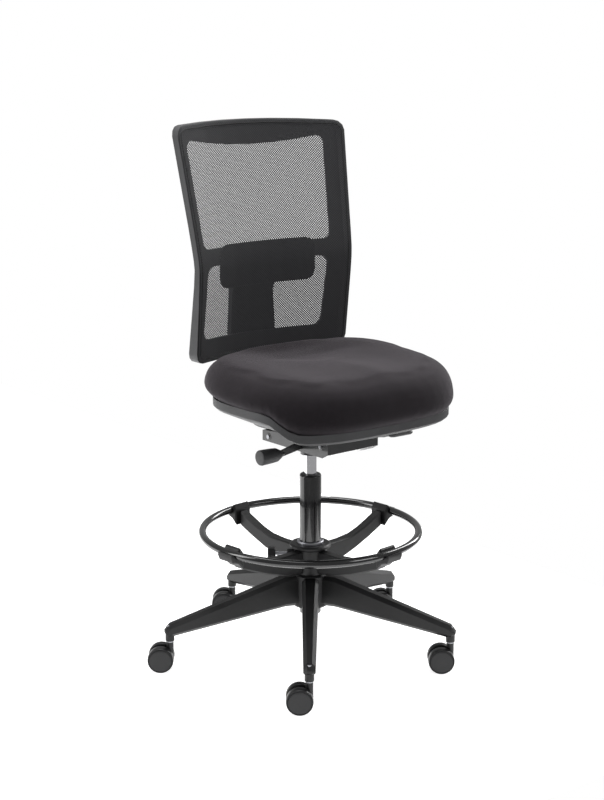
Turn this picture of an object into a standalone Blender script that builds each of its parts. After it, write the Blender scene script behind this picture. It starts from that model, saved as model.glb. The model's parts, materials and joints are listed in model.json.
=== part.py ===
"""Drafting chair: five-star base on twin-wheel casters, tall gas column with a foot ring,
tilting seat with two levers, and a mesh back on a steel bar.

The chair faces -Y and +Z is up.  Everything hangs on one empty that puts the middle of the
caster footprint over the world origin, with the floor at z = 0.
"""
import math

import bmesh
import bpy
from mathutils import Matrix, Vector

# ---------------------------------------------------------------- driving dimensions (metres)
REST_GAP = 0.0003            # between pieces that touch
RUN_GAP = 0.0004             # radial clearance of a shaft in its hole

# five-star base
LEG_COUNT = 5
BASE_TURN = math.radians(-39.5)      # the first leg, turned from straight ahead
BASE_REACH = 0.338                   # column axis to caster stem
LEG_ROOT_TOP = 0.1985
LEG_TIP_TOP = 0.1120
LEG_ROOT_UNDER = 0.127
LEG_TIP_UNDER = 0.081
LEG_ROOT_WIDTH = 0.038
LEG_TIP_WIDTH = 0.027
LEG_NOSE = 0.012                     # leg length beyond the stem
HUB_RADIUS = 0.040
HUB_TOP = 0.203
HUB_UNDER = 0.124
SOCKET_RADIUS = 0.0105
SOCKET_UNDER = 0.0712

# casters
WHEEL_RADIUS = 0.030
WHEEL_WIDTH = 0.0165
CASTER_TRAIL = 0.021
FORK_HALF_WIDTH = 0.0088
FORK_RADIUS = 0.0235
FORK_TOP = 0.0678
STEM_RADIUS = 0.0055
STEM_TOP = 0.108
STEM_UNDER = 0.0405
AXLE_RADIUS = 0.003
CASTER_TURN = BASE_TURN + math.radians(90.5)

# column
TUBE_RADIUS = 0.025
TUBE_WALL = 0.0018
TUBE_UNDER = 0.105
TUBE_TOP = 0.437
CYLINDER_RADIUS = 0.014
CYLINDER_WALL = 0.0018
CYLINDER_UNDER = 0.160
CYLINDER_TOP = 0.538
ROD_RADIUS = 0.005
ROD_UNDER = 0.0975
ROD_TOP = 0.400
BUTTON_RADIUS = 0.003
BUTTON_TOP = 0.5435
BUTTON_LENGTH = 0.014
BUTTON_TRAVEL = 0.0044

# foot ring
RING_RADIUS = 0.2506
RING_TUBE_RADIUS = 0.009
RING_HEIGHT = 0.304
COLLET_WALL = 0.0028
SPIDER_UNDER = HUB_TOP + 0.0015       # the ring's lowest place
SPIDER_FLANGE_TOP = 0.2745
SPIDER_FLANGE_RADIUS = 0.0485
SPIDER_NECK_RADIUS = 0.038
ARM_COUNT = 4
ARM_THICKNESS = 0.024
CLIP_WIDTH = 0.050
KNOB_REACH = 0.0905
KNOB_HEIGHT = 0.247
KNOB_RADIUS = 0.016
KNOB_LENGTH = 0.018
STUD_RADIUS = 0.004

# mechanism
HOUSING_HALF_WIDTH = 0.0735
HOUSING_FRONT = -0.150
HOUSING_REAR = 0.085
HOUSING_UNDER = 0.515
HOUSING_TOP_FRONT = 0.556
HOUSING_TOP_REAR = 0.539
HOUSING_WALL = 0.003
BOSS_RADIUS = 0.0235
BOSS_UNDER = 0.488
BOSS_TOP = 0.536
SEAT_PIVOT = (-0.125, 0.540)         # y, z of the front pivot
SEAT_PIN_RADIUS = 0.004
BACK_PIVOT = (0.062, 0.527)          # y, z of the rear pivot
BACK_PIN_RADIUS = 0.005
SPRING_WIRE = 0.0013
SPRING_TURNS = 3

# levers
LEVER_Y = -0.055
LEVER_PIVOT = (-0.045, 0.5415)       # x, z
LEVER_THICKNESS = 0.006
HANDLE_TIP = -0.190
HANDLE_RADIUS = 0.0175
HANDLE_HEIGHT = 0.519
HANDLE_LENGTH = 0.062
TILT_ROD_RADIUS = 0.0045
TILT_ROD_HEIGHT = 0.5285
PADDLE_HEIGHT = 0.513
PADDLE_INNER = 0.190
PADDLE_TIP = 0.257
PADDLE_DEPTH = 0.040
PADDLE_THICKNESS = 0.009

# seat
SEAT_Y = -0.068
SEAT_HALF_WIDTH = 0.275
SEAT_HALF_DEPTH = 0.226
SEAT_ROUNDNESS = 2.9                 # power of the outline: 2 is an ellipse, more is squarer
SEAT_RISE = 0.014                    # how much the cushion's rear stands above its middle
SHELL_Y = -0.0766
SHELL_HALF_WIDTH = 0.261
SHELL_HALF_DEPTH = 0.198
SHELL_ROUNDNESS = 3.1
SHELL_WALL = 0.003
SHELL_RIM_UNDER = 0.622
SHELL_RIM_TOP = 0.646
SHELL_FLOOR_INSET = 0.085
BOARD_INSET = 0.089
BOARD_THICKNESS = 0.010
CUSHION_TUCK = 0.065                 # how far the cushion's underside is drawn in
CUSHION_TOP = 0.720
CUSHION_DISH = 0.012
FRONT_DIP = 0.039                    # drop of the seat's edge at the front
FRONT_DIP_START = 0.155
FRONT_DIP_END = 0.235
SEAT_POINTS = 48
PLATE_UNDER = 0.583
PLATE_THICKNESS = 0.003
PLATE_HALF_WIDTH = 0.095
PLATE_FRONT = -0.165
PLATE_REAR = 0.100

# back
BACK_UNDER = 0.700
BACK_TOP = 1.232
BACK_ARCH = 0.007                    # rise of the top edge at the centre
BACK_CORNER = 0.024
BACK_BEND = 0.925
BACK_BOW = 0.045                     # how far the middle sits behind the sides
FRAME_SIDE = 0.0225                  # width of a side rail, seen from the front
FRAME_RIM = 0.0085
FRAME_FLANGE = 0.004
RIM_FRONT = 0.09                     # share of the depth that the stretched mesh takes up
FRAME_DEPTH_TOP = 0.024
FRAME_DEPTH_BEND = 0.021
FRAME_DEPTH_UNDER = 0.035
BOTTOM_RAIL = 0.046
TOP_RAIL = 0.036
TOP_RAIL_SAG = 0.015                 # how far the upper window's top edge dips
CROSSBAR_UNDER = 0.917
CROSSBAR_TOP = 0.956
MESH_THICKNESS = 0.0012
PAD_HALF_WIDTH = 0.1385
PAD_UNDER = 0.863
PAD_TOP = 0.963
PAD_THICKNESS = 0.006
PAD_RISE = 0.012                     # how far the pad slides up
PAD_DROP = 0.020                     # how far it slides down
PAD_SPARE = 0.003                    # room kept above the end of its slide
BAR_Y = 0.2215
BAR_THICKNESS = 0.006
BAR_HALF_WIDTH = 0.0255
BAR_TOP = 0.800
CARRIER_DEPTH = 0.018
CARRIER_HALF_WIDTH = 0.060
CARRIER_SHOULDER = 0.850
CARRIER_TAPER_ROWS = (0.760, 0.800)

# ---------------------------------------------------------------- start with an empty scene
for old in list(bpy.data.objects):
    bpy.data.objects.remove(old)

SCENE = bpy.context.scene
CHAIR = bpy.data.collections.new("drafting_chair")
CUTTERS = bpy.data.collections.new("cutters")
SCENE.collection.children.link(CHAIR)
SCENE.collection.children.link(CUTTERS)


# ---------------------------------------------------------------- materials
def material(name, colour, roughness, metallic=0.0):
    """A Principled material with one colour."""
    made = bpy.data.materials.new(name)
    made.use_nodes = True
    shader = made.node_tree.nodes["Principled BSDF"]
    shader.inputs["Base Color"].default_value = (*colour, 1.0)
    shader.inputs["Roughness"].default_value = roughness
    shader.inputs["Metallic"].default_value = metallic
    made.diffuse_color = (*colour, 1.0)
    return made


BLACK_NYLON = material("black_nylon", (0.022, 0.022, 0.023), 0.42)
GREY_PLASTIC = material("grey_plastic", (0.055, 0.055, 0.057), 0.5)
GLOSS_BLACK = material("gloss_black_paint", (0.012, 0.012, 0.013), 0.18)
CHROME = material("chrome", (0.75, 0.75, 0.76), 0.12, 1.0)
STEEL = material("zinc_steel", (0.5, 0.5, 0.52), 0.35, 1.0)
BLACK_STEEL = material("black_steel", (0.03, 0.03, 0.032), 0.35, 0.2)
WHEEL_RUBBER = material("wheel_tyre", (0.02, 0.02, 0.021), 0.35)
FABRIC = material("seat_fabric", (0.022, 0.020, 0.023), 0.9)
MESH_FABRIC = material("back_mesh", (0.05, 0.05, 0.052), 0.8)
PLYWOOD = material("plywood", (0.45, 0.31, 0.18), 0.7)


# ---------------------------------------------------------------- helpers
def empty(name, parent, location=(0.0, 0.0, 0.0), rotation=(0.0, 0.0, 0.0)):
    """An axis or a datum that pieces hang on."""
    axis = bpy.data.objects.new(name, None)
    axis.empty_display_size = 0.03
    axis.location = location
    axis.rotation_euler = rotation
    axis.parent = parent
    CHAIR.objects.link(axis)
    return axis


def piece(name, mesh, finish, parent):
    """Put a mesh into the chair as a named part."""
    made = bpy.data.objects.new(name, mesh)
    made.parent = parent
    mesh.materials.append(finish)
    CHAIR.objects.link(made)
    return made


def tool(name, mesh, parent):
    """Put a mesh aside as a cutter or as a form that is joined to a part."""
    made = bpy.data.objects.new(name, mesh)
    made.parent = parent
    made.hide_render = True
    made.display_type = "WIRE"
    CUTTERS.objects.link(made)
    return made


def boolean(target, other, operation):
    """Join a form to a part, or cut it away."""
    step = target.modifiers.new(other.name, "BOOLEAN")
    step.operation = operation
    step.solver = "EXACT"
    step.object = other


def cut(target, *others):
    for other in others:
        boolean(target, other, "DIFFERENCE")


def join(target, *others):
    for other in others:
        boolean(target, other, "UNION")


def bevel(target, width, segments=2, angle=30.0):
    step = target.modifiers.new("rounded_edges", "BEVEL")
    step.width = width
    step.segments = segments
    step.limit_method = "ANGLE"
    step.angle_limit = math.radians(angle)


def smooth(target, angle=35.0):
    target.data.shade_smooth()
    target.data.set_sharp_from_angle(angle=math.radians(angle))


def mesh_from(bm, name):
    mesh = bpy.data.meshes.new(name)
    bm.to_mesh(mesh)
    bm.free()
    return mesh


def box_mesh(name, low, high):
    """A box between two corners."""
    bm = bmesh.new()
    size = [high[axis] - low[axis] for axis in range(3)]
    middle = [(high[axis] + low[axis]) / 2 for axis in range(3)]
    matrix = Matrix.Translation(middle) @ Matrix.Diagonal((*size, 1.0))
    bmesh.ops.create_cube(bm, size=1.0, matrix=matrix)
    return mesh_from(bm, name)


def rod_mesh(name, start, end, radius, segments=24, end_radius=None):
    """A round bar or a cone between two points."""
    start = Vector(start)
    end = Vector(end)
    run = end - start
    turn = run.to_track_quat("Z", "Y").to_matrix().to_4x4()
    bm = bmesh.new()
    bmesh.ops.create_cone(
        bm,
        cap_ends=True,
        segments=segments,
        radius1=radius,
        radius2=radius if end_radius is None else end_radius,
        depth=run.length,
        matrix=Matrix.Translation((start + end) / 2) @ turn,
    )
    return mesh_from(bm, name)


def turned_mesh(name, profile, closed):
    """The profile of a turned shape, as (radius, height) points down its outer side."""
    bm = bmesh.new()
    points = [bm.verts.new((radius, 0.0, height)) for radius, height in profile]
    for first, second in zip(points, points[1:]):
        bm.edges.new((first, second))
    if closed:
        bm.edges.new((points[-1], points[0]))
    return mesh_from(bm, name)


def spin(target, steps):
    """Turn a profile into a solid about its own Z axis."""
    step = target.modifiers.new("turned", "SCREW")
    step.steps = steps
    step.render_steps = steps
    step.use_merge_vertices = True
    step.merge_threshold = 0.00001


def turned(name, profile, finish, parent, steps=24, closed=True):
    made = piece(name, turned_mesh(name, profile, closed), finish, parent)
    spin(made, steps)
    return made


def solid_mesh(name, curve):
    """The mesh of a curve object with its caps welded; the curve is used up."""
    SCENE.collection.objects.link(curve)
    bpy.context.view_layer.update()
    graph = bpy.context.evaluated_depsgraph_get()
    mesh = bpy.data.meshes.new_from_object(curve.evaluated_get(graph))
    mesh.name = name
    bm = bmesh.new()
    bm.from_mesh(mesh)
    bmesh.ops.remove_doubles(bm, verts=bm.verts, dist=0.00002)
    bmesh.ops.recalc_face_normals(bm, faces=bm.faces)
    bm.to_mesh(mesh)
    bm.free()
    bpy.data.objects.remove(curve)
    mesh.materials.clear()
    return mesh


def outline_mesh(name, loops, thickness, soft_edge=0.0):
    """A flat outline, with any holes as further loops, given thickness about its own plane."""
    curve = bpy.data.curves.new(name, "CURVE")
    curve.dimensions = "2D"
    curve.fill_mode = "BOTH"
    curve.extrude = thickness / 2 - soft_edge
    curve.bevel_depth = soft_edge
    curve.offset = -soft_edge
    curve.bevel_resolution = 0
    for loop in loops:
        spline = curve.splines.new("POLY")
        spline.points.add(len(loop) - 1)
        spline.use_cyclic_u = True
        for point, (across, along) in zip(spline.points, loop):
            point.co = (across, along, 0.0, 1.0)
    return solid_mesh(name, bpy.data.objects.new(name, curve))


def path_mesh(name, points, radius, resolution=2):
    """A round bar along a line of points, with closed ends."""
    curve = bpy.data.curves.new(name, "CURVE")
    curve.dimensions = "3D"
    curve.bevel_depth = radius
    curve.bevel_resolution = resolution
    curve.use_fill_caps = True
    spline = curve.splines.new("POLY")
    spline.points.add(len(points) - 1)
    for point, place in zip(spline.points, points):
        point.co = (*place, 1.0)
    return solid_mesh(name, bpy.data.objects.new(name, curve))


def rounded_loop(half_width, half_depth, radius, middle=(0.0, 0.0), steps=8):
    """A rectangle with round corners, anticlockwise."""
    loop = []
    for quarter in range(4):
        sign_x = 1 if quarter in (0, 3) else -1
        sign_y = 1 if quarter < 2 else -1
        for step in range(steps + 1):
            turn = math.radians(90.0) * (quarter + step / steps)
            across = sign_x * (half_width - radius) + radius * math.cos(turn)
            along = sign_y * (half_depth - radius) + radius * math.sin(turn)
            loop.append((middle[0] + across, middle[1] + along))
    return loop


def slice_up(mesh, axis, stations):
    """Add edge rings across a mesh so that it can be bent there."""
    normal = [0.0, 0.0, 0.0]
    normal[axis] = 1.0
    bm = bmesh.new()
    bm.from_mesh(mesh)
    for station in stations:
        place = [0.0, 0.0, 0.0]
        place[axis] = station
        everything = list(bm.verts) + list(bm.edges) + list(bm.faces)
        bmesh.ops.bisect_plane(bm, geom=everything, plane_co=place, plane_no=normal, dist=0.00001)
    bm.to_mesh(mesh)
    bm.free()


def triangulate(mesh):
    bm = bmesh.new()
    bm.from_mesh(mesh)
    bmesh.ops.triangulate(bm, faces=bm.faces, quad_method="SHORT_EDGE")
    bm.to_mesh(mesh)
    bm.free()


def spread(low, high, count):
    """Evenly spaced places between two limits, without the limits."""
    return [low + (high - low) * (index + 1) / (count + 1) for index in range(count)]


def blend(value, low, high):
    """0 below one limit, 1 above the other, and a smooth ramp between them."""
    share = min(max((value - low) / (high - low), 0.0), 1.0)
    return share * share * (3.0 - 2.0 * share)


def evaluated_mesh(target, name):
    """The finished mesh of an object with its modifiers; the object is used up."""
    bpy.context.view_layer.update()
    graph = bpy.context.evaluated_depsgraph_get()
    mesh = bpy.data.meshes.new_from_object(target.evaluated_get(graph))
    mesh.name = name
    bpy.data.objects.remove(target)
    return mesh


# ---------------------------------------------------------------- datum
def caster_centre(index):
    """Column axis to the middle of one caster's wheels, seen from above."""
    turn = BASE_TURN + math.tau * index / LEG_COUNT
    across = BASE_REACH * math.sin(turn) - CASTER_TRAIL * math.sin(CASTER_TURN)
    along = -BASE_REACH * math.cos(turn) + CASTER_TRAIL * math.cos(CASTER_TURN)
    return across, along


def footprint_middle():
    """Middle of the five casters' outline along X and Y."""
    centres = [caster_centre(index) for index in range(LEG_COUNT)]
    return [(min(place) + max(place)) / 2 for place in zip(*centres)]


MIDDLE = footprint_middle()
CHAIR_DATUM = empty("chair_datum", None, location=(-MIDDLE[0], -MIDDLE[1], 0.0))


# ---------------------------------------------------------------- five-star base
def leg_mesh(name):
    """One leg along +X, tapering in height and width from the hub to the caster."""
    root = HUB_RADIUS * 0.35
    tip = BASE_REACH + LEG_NOSE
    bm = bmesh.new()
    matrix = Matrix.Translation((0.5, 0.0, 0.5))
    bmesh.ops.create_cube(bm, size=1.0, matrix=matrix)
    for vert in bm.verts:
        vert.co.x = root + (tip - root) * vert.co.x
    mesh = mesh_from(bm, name)
    slice_up(mesh, 0, [HUB_RADIUS * 1.6, BASE_REACH])
    start = HUB_RADIUS * 1.6
    for vert in mesh.vertices:
        share = min(max((vert.co.x - start) / (BASE_REACH - start), 0.0), 1.05)
        top = LEG_ROOT_TOP + (LEG_TIP_TOP - LEG_ROOT_TOP) * share
        under = LEG_ROOT_UNDER + (LEG_TIP_UNDER - LEG_ROOT_UNDER) * share
        if vert.co.x > BASE_REACH + LEG_NOSE / 2:
            top = top - 0.011
            under = under + 0.004
        width = LEG_ROOT_WIDTH + (LEG_TIP_WIDTH - LEG_ROOT_WIDTH) * share
        vert.co.y *= width
        vert.co.z = under + (top - under) * vert.co.z
    return mesh


def build_base():
    hub = turned_mesh("hub_profile", [
        (0.0, HUB_TOP),
        (HUB_RADIUS - 0.004, HUB_TOP),
        (HUB_RADIUS, HUB_TOP - 0.004),
        (HUB_RADIUS, HUB_UNDER),
        (0.0, HUB_UNDER),
    ], closed=False)
    base = piece("star_base", hub, BLACK_NYLON, CHAIR_DATUM)
    spin(base, 28)
    for index in range(LEG_COUNT):
        turn = BASE_TURN - math.pi / 2 + math.tau * index / LEG_COUNT
        leg = tool(f"leg_form_{index + 1}", leg_mesh("leg"), CHAIR_DATUM)
        leg.rotation_euler.z = turn
        bevel(leg, 0.008, segments=1, angle=50.0)
        socket_mesh = rod_mesh(
            "socket",
            (BASE_REACH, 0.0, SOCKET_UNDER),
            (BASE_REACH, 0.0, LEG_TIP_UNDER + 0.012),
            SOCKET_RADIUS,
            segments=14,
        )
        socket = tool(f"socket_form_{index + 1}", socket_mesh, CHAIR_DATUM)
        socket.rotation_euler.z = turn
        join(base, leg, socket)
        bore_mesh = rod_mesh(
            "stem_bore",
            (BASE_REACH, 0.0, SOCKET_UNDER - 0.01),
            (BASE_REACH, 0.0, STEM_TOP + 2 * REST_GAP),
            STEM_RADIUS + RUN_GAP,
            segments=12,
        )
        bore = tool(f"stem_bore_{index + 1}", bore_mesh, CHAIR_DATUM)
        bore.rotation_euler.z = turn
        cut(base, bore)
    column_bore = tool("column_bore", rod_mesh(
        "column_bore",
        (0.0, 0.0, HUB_UNDER - 0.05),
        (0.0, 0.0, HUB_TOP + 0.02),
        TUBE_RADIUS + REST_GAP,
        segments=28,
    ), CHAIR_DATUM)
    cut(base, column_bore)
    smooth(base)


def build_caster(index):
    turn = BASE_TURN + math.tau * index / LEG_COUNT
    place = (BASE_REACH * math.sin(turn), -BASE_REACH * math.cos(turn), 0.0)
    name = f"caster_{index + 1}"
    swivel = empty(f"{name}_swivel_axis", CHAIR_DATUM, place, (0.0, 0.0, CASTER_TURN))
    axle_axis = empty(
        f"{name}_axle_axis", swivel, (0.0, CASTER_TRAIL, WHEEL_RADIUS), (0.0, math.pi / 2, 0.0)
    )
    collar_low = FORK_TOP + REST_GAP
    collar_high = SOCKET_UNDER - REST_GAP
    stem = turned(f"{name}_stem", [
        (0.0, STEM_TOP),
        (STEM_RADIUS - 0.001, STEM_TOP),
        (STEM_RADIUS, STEM_TOP - 0.001),
        (STEM_RADIUS, collar_high),
        (0.008, collar_high),
        (0.008, collar_low),
        (STEM_RADIUS, collar_low),
        (STEM_RADIUS, STEM_UNDER),
        (0.0, STEM_UNDER),
    ], STEEL, swivel, steps=12, closed=False)
    smooth(stem)

    disc = rod_mesh("fork_disc", (0.0, 0.0, -FORK_HALF_WIDTH), (0.0, 0.0, FORK_HALF_WIDTH),
                    FORK_RADIUS, segments=20)
    fork = piece(f"{name}_fork", disc, BLACK_NYLON, axle_axis)
    boss = tool(f"{name}_boss_form", rod_mesh(
        "boss", (0.0, 0.0, STEM_UNDER - 0.004), (0.0, 0.0, FORK_TOP), FORK_HALF_WIDTH - 0.0003,
        segments=14,
    ), swivel)
    join(fork, boss)
    stem_hole = tool(f"{name}_stem_hole", rod_mesh(
        "stem_hole", (0.0, 0.0, STEM_UNDER - REST_GAP), (0.0, 0.0, FORK_TOP + 0.01),
        STEM_RADIUS + REST_GAP, segments=12,
    ), swivel)
    axle_hole = tool(f"{name}_axle_hole", rod_mesh(
        "axle_hole", (0.0, 0.0, -0.03), (0.0, 0.0, 0.03), AXLE_RADIUS + REST_GAP, segments=12,
    ), axle_axis)
    cut(fork, stem_hole, axle_hole)
    smooth(fork)

    inner = FORK_HALF_WIDTH + 0.0007
    outer = inner + WHEEL_WIDTH
    half_axle = outer - 0.0025
    axle_mesh = rod_mesh("axle", (0.0, 0.0, -half_axle), (0.0, 0.0, half_axle),
                         AXLE_RADIUS, segments=12)
    smooth(piece(f"{name}_axle", axle_mesh, STEEL, axle_axis))

    bore = AXLE_RADIUS + REST_GAP
    for side, facing in (("left", -1), ("right", 1)):
        rounding = 0.003
        wheel = turned(f"{name}_wheel_{side}", [
            (0.0, outer),
            (WHEEL_RADIUS - rounding, outer),
            (WHEEL_RADIUS, outer - rounding),
            (WHEEL_RADIUS, inner),
            (bore, inner),
            (bore, half_axle + REST_GAP),
            (0.0, half_axle + REST_GAP),
        ], WHEEL_RUBBER, axle_axis, steps=20, closed=False)
        if facing < 0:
            wheel.rotation_euler.x = math.pi
        smooth(wheel)


# ---------------------------------------------------------------- column
def build_column():
    tube_inside = TUBE_RADIUS - TUBE_WALL
    hole = ROD_RADIUS + 0.0006
    plate = 0.0025
    smooth(turned("column_tube", [
        (TUBE_RADIUS - 0.0006, TUBE_TOP),
        (TUBE_RADIUS, TUBE_TOP - 0.0006),
        (TUBE_RADIUS, TUBE_UNDER),
        (hole, TUBE_UNDER),
        (hole, TUBE_UNDER + plate),
        (tube_inside, TUBE_UNDER + plate),
        (tube_inside, TUBE_TOP),
    ], GLOSS_BLACK, CHAIR_DATUM, steps=28))

    bush_inside = CYLINDER_RADIUS + REST_GAP
    cap_under = TUBE_TOP + REST_GAP
    smooth(turned("column_bush", [
        (TUBE_RADIUS - 0.004, cap_under + 0.0035),
        (TUBE_RADIUS - 0.001, cap_under + 0.0020),
        (TUBE_RADIUS - 0.0003, cap_under),
        (tube_inside - REST_GAP, cap_under),
        (tube_inside - REST_GAP, TUBE_TOP - 0.077),
        (bush_inside, TUBE_TOP - 0.077),
        (bush_inside, cap_under + 0.0035),
    ], BLACK_NYLON, CHAIR_DATUM, steps=28))

    bearing_under = TUBE_UNDER + plate + REST_GAP
    bearing_top = bearing_under + 0.006
    smooth(turned("thrust_bearing", [
        (0.0095, bearing_top),
        (0.0105, bearing_top - 0.001),
        (0.0105, bearing_under),
        (hole, bearing_under),
        (hole, bearing_top),
    ], STEEL, CHAIR_DATUM, steps=24))

    collar_under = bearing_top + REST_GAP
    groove_low = ROD_UNDER + 0.0028
    groove_high = groove_low + 0.0032
    groove = ROD_RADIUS - 0.001
    smooth(turned("piston_rod", [
        (0.0, ROD_TOP),
        (0.0100, ROD_TOP),
        (0.0100, ROD_TOP - 0.008),
        (ROD_RADIUS, ROD_TOP - 0.008),
        (ROD_RADIUS, collar_under + 0.003),
        (0.0090, collar_under + 0.003),
        (0.0090, collar_under),
        (ROD_RADIUS, collar_under),
        (ROD_RADIUS, groove_high),
        (groove, groove_high),
        (groove, groove_low),
        (ROD_RADIUS, groove_low),
        (ROD_RADIUS, ROD_UNDER),
        (0.0, ROD_UNDER),
    ], STEEL, CHAIR_DATUM, steps=16, closed=False))

    gap_half = math.radians(35.0)
    outer_arc = [gap_half + (math.tau - 2 * gap_half) * step / 14 for step in range(15)]
    clip_loop = [(0.0085 * math.cos(turn), 0.0085 * math.sin(turn)) for turn in outer_arc]
    inner = groove + REST_GAP
    clip_loop += [(inner * math.cos(turn), inner * math.sin(turn)) for turn in reversed(outer_arc)]
    clip = piece("retaining_clip", outline_mesh("retaining_clip", [clip_loop], 0.002),
                 STEEL, CHAIR_DATUM)
    clip.location.z = (groove_low + groove_high) / 2

    inside = CYLINDER_RADIUS - CYLINDER_WALL
    well = BUTTON_TOP - BUTTON_LENGTH - BUTTON_TRAVEL - 2 * REST_GAP
    gland = ROD_RADIUS + REST_GAP
    well_radius = BUTTON_RADIUS + REST_GAP
    smooth(turned("gas_cylinder", [
        (0.0, well),
        (well_radius, well),
        (well_radius, CYLINDER_TOP),
        (CYLINDER_RADIUS - 0.001, CYLINDER_TOP),
        (CYLINDER_RADIUS, CYLINDER_TOP - 0.001),
        (CYLINDER_RADIUS, CYLINDER_UNDER + 0.001),
        (CYLINDER_RADIUS - 0.001, CYLINDER_UNDER),
        (gland, CYLINDER_UNDER),
        (gland, CYLINDER_UNDER + 0.006),
        (inside, CYLINDER_UNDER + 0.006),
        (inside, well - 0.006),
        (0.0, well - 0.006),
    ], CHROME, CHAIR_DATUM, steps=24, closed=False))
    smooth(turned("release_button", [
        (0.0, BUTTON_TOP),
        (BUTTON_RADIUS - 0.0006, BUTTON_TOP),
        (BUTTON_RADIUS, BUTTON_TOP - 0.0006),
        (BUTTON_RADIUS, BUTTON_TOP - BUTTON_LENGTH),
        (0.0, BUTTON_TOP - BUTTON_LENGTH),
    ], STEEL, CHAIR_DATUM, steps=16, closed=False))


# ---------------------------------------------------------------- foot ring
def arm_top(reach):
    """Height of an arm's upper edge: level by the hub, then a hollow sweep up to the ring."""
    level = SPIDER_FLANGE_TOP - 0.013
    return level + (RING_HEIGHT + 0.008 - level) * blend(reach, 0.085, 0.270) ** 1.5


def arm_under(reach):
    """Height of an arm's lower edge."""
    share = (reach - 0.03) / (RING_RADIUS - 0.03)
    return SPIDER_UNDER + 0.001 + (RING_HEIGHT - 0.028 - SPIDER_UNDER) * max(share, 0.0) ** 1.55


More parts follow.
